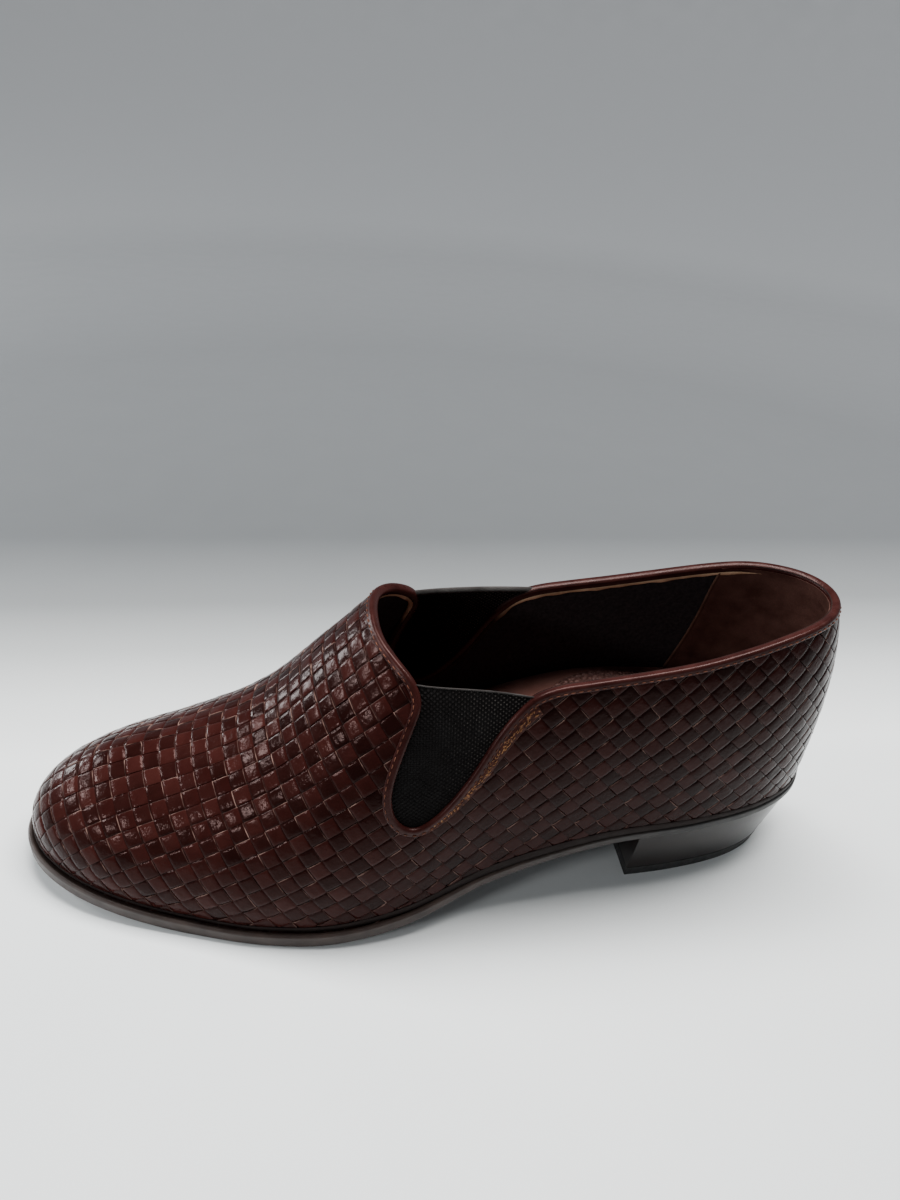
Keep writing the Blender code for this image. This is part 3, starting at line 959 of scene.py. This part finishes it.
def gore_look():
    """Knitted elastic whose light flecks show more towards the heel."""
    look = Look("elastic_webbing", Specular_IOR_Level=0.06)
    across = look.math("SINE", look.math("MULTIPLY", look.axis("X"), 2 * math.pi / 0.0017))
    upward = look.math("SINE", look.math("MULTIPLY", look.axis("Z"), 2 * math.pi / 0.0013))
    knit = look.math("MULTIPLY", across, upward)
    heelward = look.spread(look.axis("X"), -0.012, 0.024, 0.08, 1.0)
    fleck = look.math("MULTIPLY", look.spread(knit, 0.25, 1.0, 0.0, 1.6), look.noise(700, 2.0))
    fleck = look.math("MULTIPLY", fleck, heelward)
    look.paint(fleck, ((0.18, (0.0026, 0.0018, 0.0018)), (0.60, (0.056, 0.049, 0.045))))
    look.rough(200, 2.0, 0.66, 0.86)
    look.bump(knit, 0.7, 0.0005)
    return look.material


def sole_look():
    """Brown edge round the forefoot that turns black towards the heel seat."""
    look = Look("sole_edge", Specular_IOR_Level=0.3)
    wear = look.noise(160, 4.0)
    fore = look.ramp(wear, ((0.3, (0.021, 0.0130, 0.0108)), (0.75, (0.048, 0.032, 0.027))))
    seat = look.ramp(wear, ((0.3, (0.005, 0.0043, 0.004)), (0.75, (0.014, 0.0115, 0.0105))))
    look.link(look.mix(look.spread(look.axis("X"), 0.015, 0.075, 0.0, 1.0), fore, seat), "Base Color")
    look.rough(260, 3.0, 0.34, 0.52)
    look.bump(look.noise(700, 3.0, (0.15, 0.15, 1.0)), 0.25, 0.0003)
    return look.material


def lacquer_look():
    look = Look("heel_lacquer", Coat_Weight=0.10, Coat_Roughness=0.08, Specular_IOR_Level=0.18)
    grain = look.noise(260, 3.0, (0.10, 0.10, 1.0))
    look.paint(grain, ((0.3, (0.0055, 0.0034, 0.003)), (0.75, (0.0135, 0.0080, 0.0068))))
    look.rough(60, 2.0, 0.17, 0.23)
    look.bump(grain, 0.03, 0.0003)
    return look.material


def floor_look():
    """Pale paper round the shoe that turns grey further off; the grey behind it is painted shade, standing
    for a backdrop in less light.
    """
    look = Look("pale_paper", Specular_IOR_Level=0.2)
    paper = look.ramp(look.noise(7, 2.0), ((0.35, (0.735, 0.765, 0.77)), (0.65, (0.775, 0.80, 0.80))))
    # Painted shade: the paper turns grey behind the shoe
    fade = ((0.040, 0.0), (0.075, 0.30), (0.105, 0.62), (0.140, 0.86), (0.200, 1.0))
    behind = look.ramp(look.axis("Y"), [(place, (share, share, share)) for place, share in fade])
    sideways = look.math("POWER", look.axis("X"), 2.0)
    nearer = look.math("POWER", look.math("MINIMUM", look.axis("Y"), 0.0), 2.0)
    beside = look.math("SQRT", look.math("ADD", sideways, look.math("MULTIPLY", nearer, 1.6)))
    share = look.math("MAXIMUM", behind, look.spread(beside, 0.24, 0.60, 0.0, 1.0))
    reach = look.math("SQRT", look.math("ADD", sideways, look.math("POWER", look.axis("Y"), 2.0)))
    greys = ((0.15, (0.088, 0.094, 0.098)), (0.5, (0.120, 0.127, 0.133)), (0.9, (0.225, 0.235, 0.246)))
    look.link(look.mix(share, paper, look.ramp(reach, greys)), "Base Color")
    look.rough(40, 2.0, 0.5, 0.6)
    return look.material


# Materials
STRIP_LONG = strip_look(
    "strip_long", (0.0105, 0.0023, 0.0019), (0.0186, 0.0044, 0.0037), (0.034, 0.0092, 0.0076),
)
STRIP_CROSS = strip_look(
    "strip_cross", (0.0046, 0.0012, 0.0011), (0.0098, 0.0025, 0.0021), (0.0220, 0.0060, 0.0051),
)
# Colours of the cut leather edges, lightened into a painted highlight where the edges catch the light
CUT_AND_HIGHLIGHT_STOPS = ((0.38, (0.012, 0.0046, 0.0038)), (0.52, (0.048, 0.025, 0.0205)), (0.70, (0.19, 0.118, 0.098)))
STRIP_CUT_AND_HIGHLIGHT = plain_look(
    "strip_cut_edge_and_highlight", (210, 2.0, *CUT_AND_HIGHLIGHT_STOPS), (500, 2.0, 0.45, 0.65), (1800, 2.0, 0.3, 0.0002),
    Specular_IOR_Level=0.10, Specular_Tint=WARM_GLOSS,
)
BAND_STOPS = ((0.35, (0.016, 0.0042, 0.0034)), (0.58, (0.045, 0.0135, 0.0090)), (0.70, (0.24, 0.115, 0.052)))
BAND = plain_look(
    "gore_facing", (820, 3.0, *BAND_STOPS), (400, 2.0, 0.40, 0.60), (900, 3.0, 0.6, 0.0004),
    Specular_IOR_Level=0.08, Specular_Tint=WARM_GLOSS,
)
GOLD_THREAD = leather_look("gold_thread", (0.13, 0.055, 0.022), (0.40, 0.20, 0.085), 0.55, 2600, 0.5)
SEAM_EDGE = leather_look("seam_edge", (0.045, 0.021, 0.015), (0.100, 0.053, 0.038), 0.55, 1600, 0.4)
# Black band at the foot of the upper, along the top of the sole
FOOT_BAND = leather_look("black_foot_band", (0.0030, 0.0026, 0.0025), (0.0075, 0.0062, 0.0058), 0.5, 900, 0.3)
BACKING = leather_look("backing_leather", (0.006, 0.003, 0.0028), (0.013, 0.006, 0.005), 0.7, 900, 0.2)
BINDING = leather_look(
    "binding_leather", (0.0145, 0.0034, 0.0030), (0.031, 0.0083, 0.0070), 0.30, 1100, 0.25, 0.03,
)
THREAD = leather_look("thread", (0.050, 0.016, 0.010), (0.15, 0.060, 0.036), 0.6, 2600, 0.5)
RAW_EDGE = raw_edge_look()
COUNTER = leather_look("counter_leather", (0.034, 0.0145, 0.0115), (0.072, 0.034, 0.027), 0.55, 1300, 0.3)
INSOLE = leather_look(
    "insole_leather", (0.145, 0.063, 0.051), (0.185, 0.087, 0.072), 0.5, 1300, 0.25, 0.1,
)
PEBBLE = pebble_look()
WEBBING = gore_look()
TEXTILE = plain_look(
    "black_lining", (900, 3.0, (0.3, (0.0110, 0.0090, 0.0100)), (0.8, (0.027, 0.023, 0.025))),
    (260, 2.0, 0.75, 0.92), (2200, 2.0, 0.4, 0.0003), Specular_IOR_Level=0.10,
)
HEM = leather_look("webbing_hem", (0.016, 0.0155, 0.015), (0.050, 0.048, 0.046), 0.6, 2400, 0.5)
SOLE = sole_look()
LACQUER = lacquer_look()
RUBBER = plain_look(
    "lift_rubber", (300, 3.0, (0.3, (0.006, 0.006, 0.006)), (0.75, (0.016, 0.015, 0.014))),
    (500, 2.0, 0.5, 0.7), (1200, 2.0, 0.3, 0.0002),
)

# Upper: woven strips over a thin backing with its lining
CHARTS = {side: side_chart(side, 0.0) for side in (-1, 1)}
SHEET = weave_chart()
for title, is_cross, look in (("strips_long", False, STRIP_LONG), ("strips_cross", True, STRIP_CROSS)):
    mesh_points, mesh_faces, face_numbers, tones = weave_family(SHEET, CHARTS, is_cross)
    strips = add_mesh(title, mesh_points, mesh_faces, (look, STRIP_CUT_AND_HIGHLIGHT), "upper", "upper", 48, face_numbers)
    tone = strips.data.attributes.new("tone", "FLOAT", "POINT")
    tone.data.foreach_set("value", np.asarray(tones, np.float32))

BACKING_INSET = 1.0
SHELL_STEPS = 96
SHELL_RISES = 30
lining_shell = shell_object("lining", BACKING_INSET, WALL)
add_carved("lining", lining_shell, "DIFFERENCE", OPENING, (BACKING, TEXTILE), "upper")

# Brown lining round the heel, its front edge on a slant
COUNTER_INSET = WALL + 0.6
COUNTER_FRONT = [(36.0, 82.6), (36.8, 74.0), (38.2, 65.4), (40.6, 56.0), (43.8, 46.5)]
counter_edge = throat_curve(0, 6, 4)
counter_edge = counter_edge[counter_edge[:, 0] < 31.5]
counter_outline = np.concatenate([
    counter_edge - np.array([0.0, 1.2]), [(35.0, 92.0)], COUNTER_FRONT, [(47.0, 38.0), (-14.0, 38.0)],
])
counter_shell = shell_object("counter", WALL - 0.1, COUNTER_INSET)
add_carved("counter_lining", counter_shell, "INTERSECT", counter_outline, (COUNTER, COUNTER))

# Folded binding round the whole opening, with its stitches and the raw lining edge below it
LOOP_STEPS = 420
PATH = edge_path(CHARTS)
BINDING_PROFILE = np.array([
    (2.05, -0.6), (2.1, 0.2), (2.0, 0.50), (1.7, 0.60), (1.35, 0.60), (0.95, 0.70), (0.5, 0.76),
    (0.05, 0.70), (-0.3, 0.46), (-0.52, 0.0), (-0.6, -0.75), (-0.52, -1.5), (-0.3, -2.0), (0.2, -2.30),
    (0.8, -2.40), (1.3, -2.44), (1.7, -2.42), (1.85, -2.2), (1.85, -1.4),
])
add_mesh("binding", *sweep(PATH, BINDING_PROFILE), (BINDING,), "upper")
RAW_PROFILE = np.array([(1.5, -1.6), (1.5, -2.3), (2.2, -2.50), (2.9, -2.45), (3.15, -2.2), (3.05, -1.6)])
RAW_WAVES = ((0.16, 23, 0), (0.14, 41, 1), (0.12, 67, 2))
loop_angle = np.arange(LOOP_STEPS) * 2 * np.pi / LOOP_STEPS
ragged = sum(size * np.sin(times * loop_angle + start) for size, times, start in RAW_WAVES)
add_mesh("raw_lining_edge", *sweep(PATH, RAW_PROFILE, ragged), (RAW_EDGE,), "upper")
STITCH_IN = 1.5
STITCH_OUT = 0.60
STITCH_SIZE = (1.35, 0.30)
loop_points, loop_normals, loop_inward, loop_ways = (part[::2] for part in PATH)
stitch_centres = loop_points + STITCH_IN * loop_inward + STITCH_OUT * loop_normals
stitch_row = capsules(stitch_centres, loop_ways, loop_inward, loop_normals, *STITCH_SIZE)
add_mesh("binding_stitches", *stitch_row, (THREAD,), "upper")

# Stitched facing along the heel side of each notch
FACING_PROFILE = np.array([
    (1.7, -0.6), (1.7, 0.46), (2.2, 0.62), (3.2, 0.54), (4.2, 0.40), (5.0, 0.22), (5.3, -0.05), (5.3, -0.6),
])
FACING_ROWS = (9, 15)
FACING_SEWN = (2.5, 4.3)
FACING_LEAN = 0.7
FACING_OUT = 0.44
FACING_STITCH = (1.1, 0.26)
path_points, path_normals, path_inward, path_ways = PATH
path_view = side_view(path_points)
for title, side in (("facing_lateral", -1), ("facing_medial", 1)):
    is_side = np.sign(path_points[:, 1]) == side
    ends = []
    for row in FACING_ROWS:
        away = np.where(is_side, np.linalg.norm(path_view - np.array(THROAT[row]), axis=1), np.inf)
        ends.append(int(away.argmin()))
    picks = np.arange(min(ends), max(ends) + 1)
    taper = np.sin(np.linspace(0.12, 1.0, len(picks)) * np.pi / 2)
    taper = taper if ends[0] > ends[1] else taper[::-1]
    add_mesh(title, *ribbon(PATH, FACING_PROFILE, picks, taper), (BAND,), "upper", None, 60)
    sewn = np.repeat(picks[2:-2], 2)
    reach = RANDOM.uniform(*FACING_SEWN, len(sewn)) * taper[sewn - picks[0]]
    lean = RANDOM.uniform(-FACING_LEAN, FACING_LEAN, len(sewn))[:, None]
    ups = path_normals[sewn]
    spots = path_points[sewn] + path_inward[sewn] * reach[:, None] + ups * FACING_OUT
    ways = path_ways[sewn] * np.cos(lean) + path_inward[sewn] * np.sin(lean)
    sides = path_inward[sewn] * np.cos(lean) - path_ways[sewn] * np.sin(lean)
    stitches = capsules(spots, ways, sides, ups, *FACING_STITCH)
    add_mesh(title + "_stitches", *stitches, (GOLD_THREAD,), "upper")

# Elastic gores with a hem along the top
GORE_INSETS = (0.5, 1.55)
GORE_UNDER_EDGE = 1.8
GORE_SPAN = (-0.12, 1.32)
GORE_DEPTH = 46
HEM_SPAN = (-0.04, 1.04)
HEM_DROP = np.array([0, 0, 0.1])
HEM_OUT = 0.75
HEM_UP = np.array([0, 0, 0.55])
for title, side, first_row, last_row in GORES:
    notch = throat_curve(first_row, last_row, 8)
    part = np.linspace(*GORE_SPAN, 100)
    depth = np.linspace(0, GORE_DEPTH, 96)
    top_line = notch[0] + (notch[-1] - notch[0]) * part[:, None]
    top_line[:, 1] += GORE_CROWN * 4 * np.clip(part, 0, 1) * (1 - np.clip(part, 0, 1))
    flat = top_line[:, None, :] - np.stack([0 * depth, depth], -1)
    places, _ = side_chart(side, GORE_INSETS[0]).find(flat.reshape(-1, 2))
    faces = [last_point(places[:, 0], side, places[:, 1], inset) for inset in GORE_INSETS]
    front, back = (face.reshape(*flat.shape[:2], 3) for face in faces)
    centre = ((flat[:-1, :-1] + flat[1:, 1:]) / 2).reshape(-1, 2)
    is_span = (part >= 0) & (part <= 1)
    gore_outline = np.concatenate([notch, top_line[is_span][::-1]])
    _, edge_away = nearest_on_line(centre, notch)
    is_kept = in_outline(centre, gore_outline) | (edge_away < GORE_UNDER_EDGE)
    is_kept = is_kept.reshape(len(part) - 1, len(depth) - 1)
    add_mesh(title + "_webbing", *slab(front, back, is_kept), (WEBBING,), "gore", title, 40)
    hem = slice(*np.flatnonzero((part > HEM_SPAN[0]) & (part < HEM_SPAN[1]))[[0, -1]])
    middle = (front[hem, 0] + back[hem, 0]) / 2 - HEM_DROP
    outer = unit(front[hem, 0] - back[hem, 0]) * HEM_OUT
    add_mesh(title + "_hem", *round_tube(middle, outer, 0 * outer + HEM_UP, 10), (HEM,), "gore")

# Edge of the brown lining, a thin roll on the inner wall
SEAM_DEEP = 0.35
SEAM_WIDE = 0.5
seam_line = np.array([(35.2, 90.0)] + COUNTER_FRONT)
seam_rows = np.linspace(0, 1, len(seam_line))
seam_flat = np.stack([smooth_through(seam_rows, seam_line[:, i], np.linspace(0, 1, 40)) for i in (0, 1)], -1)
for title, side in (("counter_seam_lateral", -1), ("counter_seam_medial", 1)):
    places, _ = side_chart(side, COUNTER_INSET).find(seam_flat)
    spots, deeper = (
        last_point(places[:, 0], side, places[:, 1], inset) for inset in (COUNTER_INSET, COUNTER_INSET + 1)
    )
    across = unit(deeper - spots)
    beside = np.cross(across, unit(np.gradient(spots, axis=0)))
    seam = round_tube(spots, across * SEAM_DEEP, beside * SEAM_WIDE, 8)
    add_mesh(title, *seam, (SEAM_EDGE,), "upper")

# Insole, dished, with a pebbled heel sock
FOOTBED_DISH = 1.2


def footbed_grid(turns, stations):
    """Grid on the dished footbed; a station is -1 at the lateral wall and 1 at the medial one."""
    left, right = (
        wall_point(turns, side, along("footbed", turns), WALL + 0.1)[:, None] for side in (-1, 1)
    )
    grid = (left + right) / 2 + (right - left) / 2 * stations[..., None]
    grid[..., 2] -= FOOTBED_DISH * (1 - stations ** 2)
    return grid


def add_slab(name, top, low, material, node=None):
    every_cell = np.ones((len(top) - 1, top.shape[1] - 1), bool)
    add_mesh(name, *slab(top, low, every_cell), (material,), "insole", node, 50)


insole_turns = np.linspace(0.004, 0.996, 140)
insole_top = footbed_grid(insole_turns, np.sin(np.linspace(-np.pi / 2, np.pi / 2, 33))[None, :])
insole_low = insole_top.copy()
insole_low[..., 2] = along("feather", insole_turns)[:, None]
add_slab("insole_cover", insole_top, insole_low, INSOLE, "insole")

SOCK_START = 5.0
SOCK_END = 94.0
SOCK_ROUND_FROM = 68.0
SOCK_ROUND_OVER = 26.5
SOCK_WIDTH = 0.93
SOCK_RIM = 0.06
SOCK_LIFT = 0.85
SOCK_SINK = 0.15
SOCK_THICK = np.array([0, 0, 1.6])
sock_reach = np.linspace(SOCK_START, SOCK_END, 100)
sock_part = np.clip(sock_reach - SOCK_ROUND_FROM, 0, None) / SOCK_ROUND_OVER
sock_round = np.sqrt(np.clip(1 - sock_part ** 2, 0.002, 1))[:, None]
sock_stations = np.sin(np.linspace(-np.pi / 2, np.pi / 2, 41))[None, :]
sock_top = footbed_grid(turn_at(sock_reach), sock_stations * SOCK_WIDTH * sock_round)
sock_rim = np.clip((1 - np.abs(sock_stations)) / SOCK_RIM, 0, 1)
sock_rim = sock_rim * np.clip((SOCK_END - sock_reach) / 2, 0, 1)[:, None]
sock_top[..., 2] += SOCK_LIFT * np.sqrt(sock_rim) - SOCK_SINK
add_slab("heel_sock", sock_top, sock_top - SOCK_THICK, PEBBLE)

# Outsole with a rounded edge and a groove along its top
SOLE_STEPS = 150
EDGE_ROUND = 0.9


def short(wave, angle):
    """How far a point of the rounded edge stays short of the full radius."""
    return EDGE_ROUND * (1 - wave(angle))


sole_turn, sole_side = round_turns(SOLE_STEPS)
sole_base = by_side(sole_turn, sole_side, feather_point)
sole_out = plan_normals(sole_base)
quarter = np.linspace(0, np.pi / 2, 6)
sole_high = along("feather", sole_turn) - GAP
sole_low = bottom_height(sole_turn)
# Way out from the edge, height it is measured from, height above that
edge_profile = [(-3.4, sole_high, -0.9), (-2.2, sole_high, -0.8), (-1.5, sole_high, -0.12)]
edge_profile += [(-short(math.sin, q), sole_high, -short(math.cos, q)) for q in quarter]
edge_profile += [(0.0, (sole_high + sole_low) / 2, 0.0)]
edge_profile += [(-short(math.cos, q), sole_low, short(math.sin, q)) for q in quarter]
sole_rings = []
for extra, height, shift in edge_profile:
    ring = sole_base.copy()
    ring[:, :2] += sole_out * (along("edge_out", sole_turn) + extra)[:, None]
    ring[:, 2] = height + shift
    sole_rings.append(ring)
count = len(sole_turn)
sole_body = closed_body(sole_rings, capped_faces(len(sole_rings), count, SOLE_STEPS))
add_mesh("outsole_edge", *sole_body, (SOLE,), "outsole", "outsole", 50)

# Black band round the foot of the upper, highest at the waist
FOOT_BAND_REACH = (0, 30, 70, 110, 150, 190, 256)
FOOT_BAND_LIFT = (1.7, 1.7, 2.4, 3.2, 2.0, 1.1, 0.9)
FOOT_BAND_PROFILE = ((-0.25, -0.9), (-0.25, 0.45), (0.35, 0.56), (0.80, 0.52), (1.0, 0.34), (1.04, -0.9))
foot_band_lift = np.interp(from_heel_at(sole_turn), FOOT_BAND_REACH, FOOT_BAND_LIFT)
foot_band_rings = []
for share, out in FOOT_BAND_PROFILE:
    lift = np.maximum(share * foot_band_lift, -0.25)
    ring = by_side(sole_turn, sole_side, lambda t, s: wall_point(t, s, np.maximum(lift, 0.02), -out))
    ring[:, 2] = along("feather", sole_turn) + lift
    foot_band_rings.append(ring)
foot_band_body = closed_body(foot_band_rings, skin_faces(len(foot_band_rings), count, True))
add_mesh("foot_band", *foot_band_body, (FOOT_BAND,), "outsole", None, 50)


# Heel block and its wearing piece
HEEL_STEPS = 60


def heel_ring(share):
    """Outline of the heel, share 0 at the sole and 1 on the floor."""
    turns = np.linspace(turn_at(HEEL_BREAST), 0, HEEL_STEPS + 1)
    turns = np.concatenate([turns, turns[-2::-1]])
    sides = np.concatenate([-np.ones(HEEL_STEPS + 1), np.ones(HEEL_STEPS)])
    foot = by_side(turns, sides, feather_point)
    back = HEEL_BACK_IN * share - (1 - share) * HEEL_SET_IN / 2
    reach = back + from_heel_at(turns) * (HEEL_BREAST - back) / HEEL_BREAST
    return np.stack([LENGTH / 2 - reach, foot[:, 1] * (1 - HEEL_SIDE_TAPER * share), 0 * reach], -1), turns


def heel_mesh(top_share, bottom_share, top_height, bottom_at, levels):
    rings = []
    for level in np.linspace(0, 1, levels + 1):
        ring, turns = heel_ring(top_share + (bottom_share - top_share) * level)
        high = top_height(turns)
        ring[:, 2] = high + (bottom_at - high) * level
        rings.append(ring)
    return closed_body(rings, capped_faces(levels + 1, len(rings[0]), HEEL_STEPS))


lift_share = 1 - LIFT_THICK / along("feather", 0.0)
heel_block = heel_mesh(0.0, lift_share, lambda t: bottom_height(t) - GAP, LIFT_THICK + GAP, 10)
top_lift = heel_mesh(lift_share, 1.0, lambda t: LIFT_THICK + 0 * t, 0.0, 3)
for title, node, body, look, width in (
    ("heel_lacquered", "heel_block", heel_block, LACQUER, 0.5),
    ("heel_wearing_piece", "top_lift", top_lift, RUBBER, 0.4),
):
    heel = add_mesh(title, *body, (look,), node, node, 30)
    bevel = heel.modifiers.new("edge", "BEVEL")
    bevel.width = width * MM
    bevel.segments = 3
    bevel.limit_method = "ANGLE"
    bevel.angle_limit = math.radians(40)

# Stage, a round floor that curves up into a wall
FLOOR_SIDES = 96
FLOOR_REACH = 0.80
COVE = 0.40
WALL_TOP = (1.30, 1.8)
bowl = [(FLOOR_REACH, 0.0)]
for angle in np.linspace(0.1, 1.45, 16):
    bowl.append((FLOOR_REACH + COVE * math.sin(angle), COVE - COVE * math.cos(angle)))
bowl.append(WALL_TOP)
floor_turns = np.arange(FLOOR_SIDES) * 2 * math.pi / FLOOR_SIDES
floor_points = [(r * math.cos(turn), r * math.sin(turn), z) for r, z in bowl for turn in floor_turns]
floor_faces = [tuple(range(FLOOR_SIDES))]
floor_faces += [face[::-1] for face in skin_faces(len(bowl), FLOOR_SIDES)]
floor_mesh = bpy.data.meshes.new("floor")
floor_mesh.from_pydata(floor_points, [], floor_faces)
dress(floor_mesh, (floor_look(),))
floor_mesh.shade_smooth()
linked("floor", floor_mesh)

# Light: place, aim, size, power and colour of each lamp
DAYLIGHT = (0.97, 0.99, 1.0)
WINDOW_AIM = (-0.06, 0.0, 0.05)
for name, place, aim, size, power, colour in (
    ("window_back_low", (-0.78, 0.58, 0.14), WINDOW_AIM, (0.20, 0.16), 2.6, DAYLIGHT),
    ("window_back_high", (-0.84, 0.35, 0.46), WINDOW_AIM, (0.18, 0.15), 2.8, DAYLIGHT),
    ("window_left", (-0.88, 0.06, 0.44), WINDOW_AIM, (0.16, 0.13), 3.4, DAYLIGHT),
    ("window_front", (-0.84, -0.48, 0.42), WINDOW_AIM, (0.15, 0.11), 3.0, DAYLIGHT),
    ("overhead", (0.14, 0.20, 0.95), (0.09, 0.06, 0.0), (0.90, 0.26), 29.0, (1.0, 0.99, 0.98)),
):
    light = bpy.data.lights.new(name, "AREA")
    light.shape = "RECTANGLE"
    light.size, light.size_y = size
    light.energy = power
    light.color = colour
    lamp = linked(name, light)
    lamp.location = place
    lamp.rotation_euler = (Vector(place) - Vector(aim)).to_track_quat("Z", "Y").to_euler()
world = bpy.data.worlds.new("room")
world.use_nodes = True
world.node_tree.nodes["Background"].inputs["Color"].default_value = (0.90, 0.94, 1.0, 1.0)
world.node_tree.nodes["Background"].inputs["Strength"].default_value = 0.025
bpy.context.scene.world = world

# Camera: focal length in pixels of the 900 by 1200 frame, angles and place as fitted to the photo's outline
FOCAL_PIXELS = 899
FRAME_HEIGHT = 1200
SENSOR = 36.0
CAMERA_ANGLES = (10.06, 34.18, 5.08)
CAMERA_PLACE = np.array([-36.7, -215.2, 243.1])
camera_data = bpy.data.cameras.new("camera")
camera_data.sensor_width = SENSOR
camera_data.lens = FOCAL_PIXELS / FRAME_HEIGHT * SENSOR
camera = linked("camera", camera_data)
yaw, pitch, roll = (math.radians(angle) for angle in CAMERA_ANGLES)
ahead = Vector((math.sin(yaw) * math.cos(pitch), math.cos(yaw) * math.cos(pitch), -math.sin(pitch)))
level_right = Vector((math.cos(yaw), -math.sin(yaw), 0.0))
level_up = level_right.cross(ahead)
right = math.cos(roll) * level_right + math.sin(roll) * level_up
up = math.cos(roll) * level_up - math.sin(roll) * level_right
turned = Matrix((right, up, -ahead)).transposed().to_4x4()
camera.matrix_world = Matrix.Translation((CAMERA_PLACE - MIDDLE) * MM) @ turned
bpy.context.scene.camera = camera

bpy.context.view_layer.update()
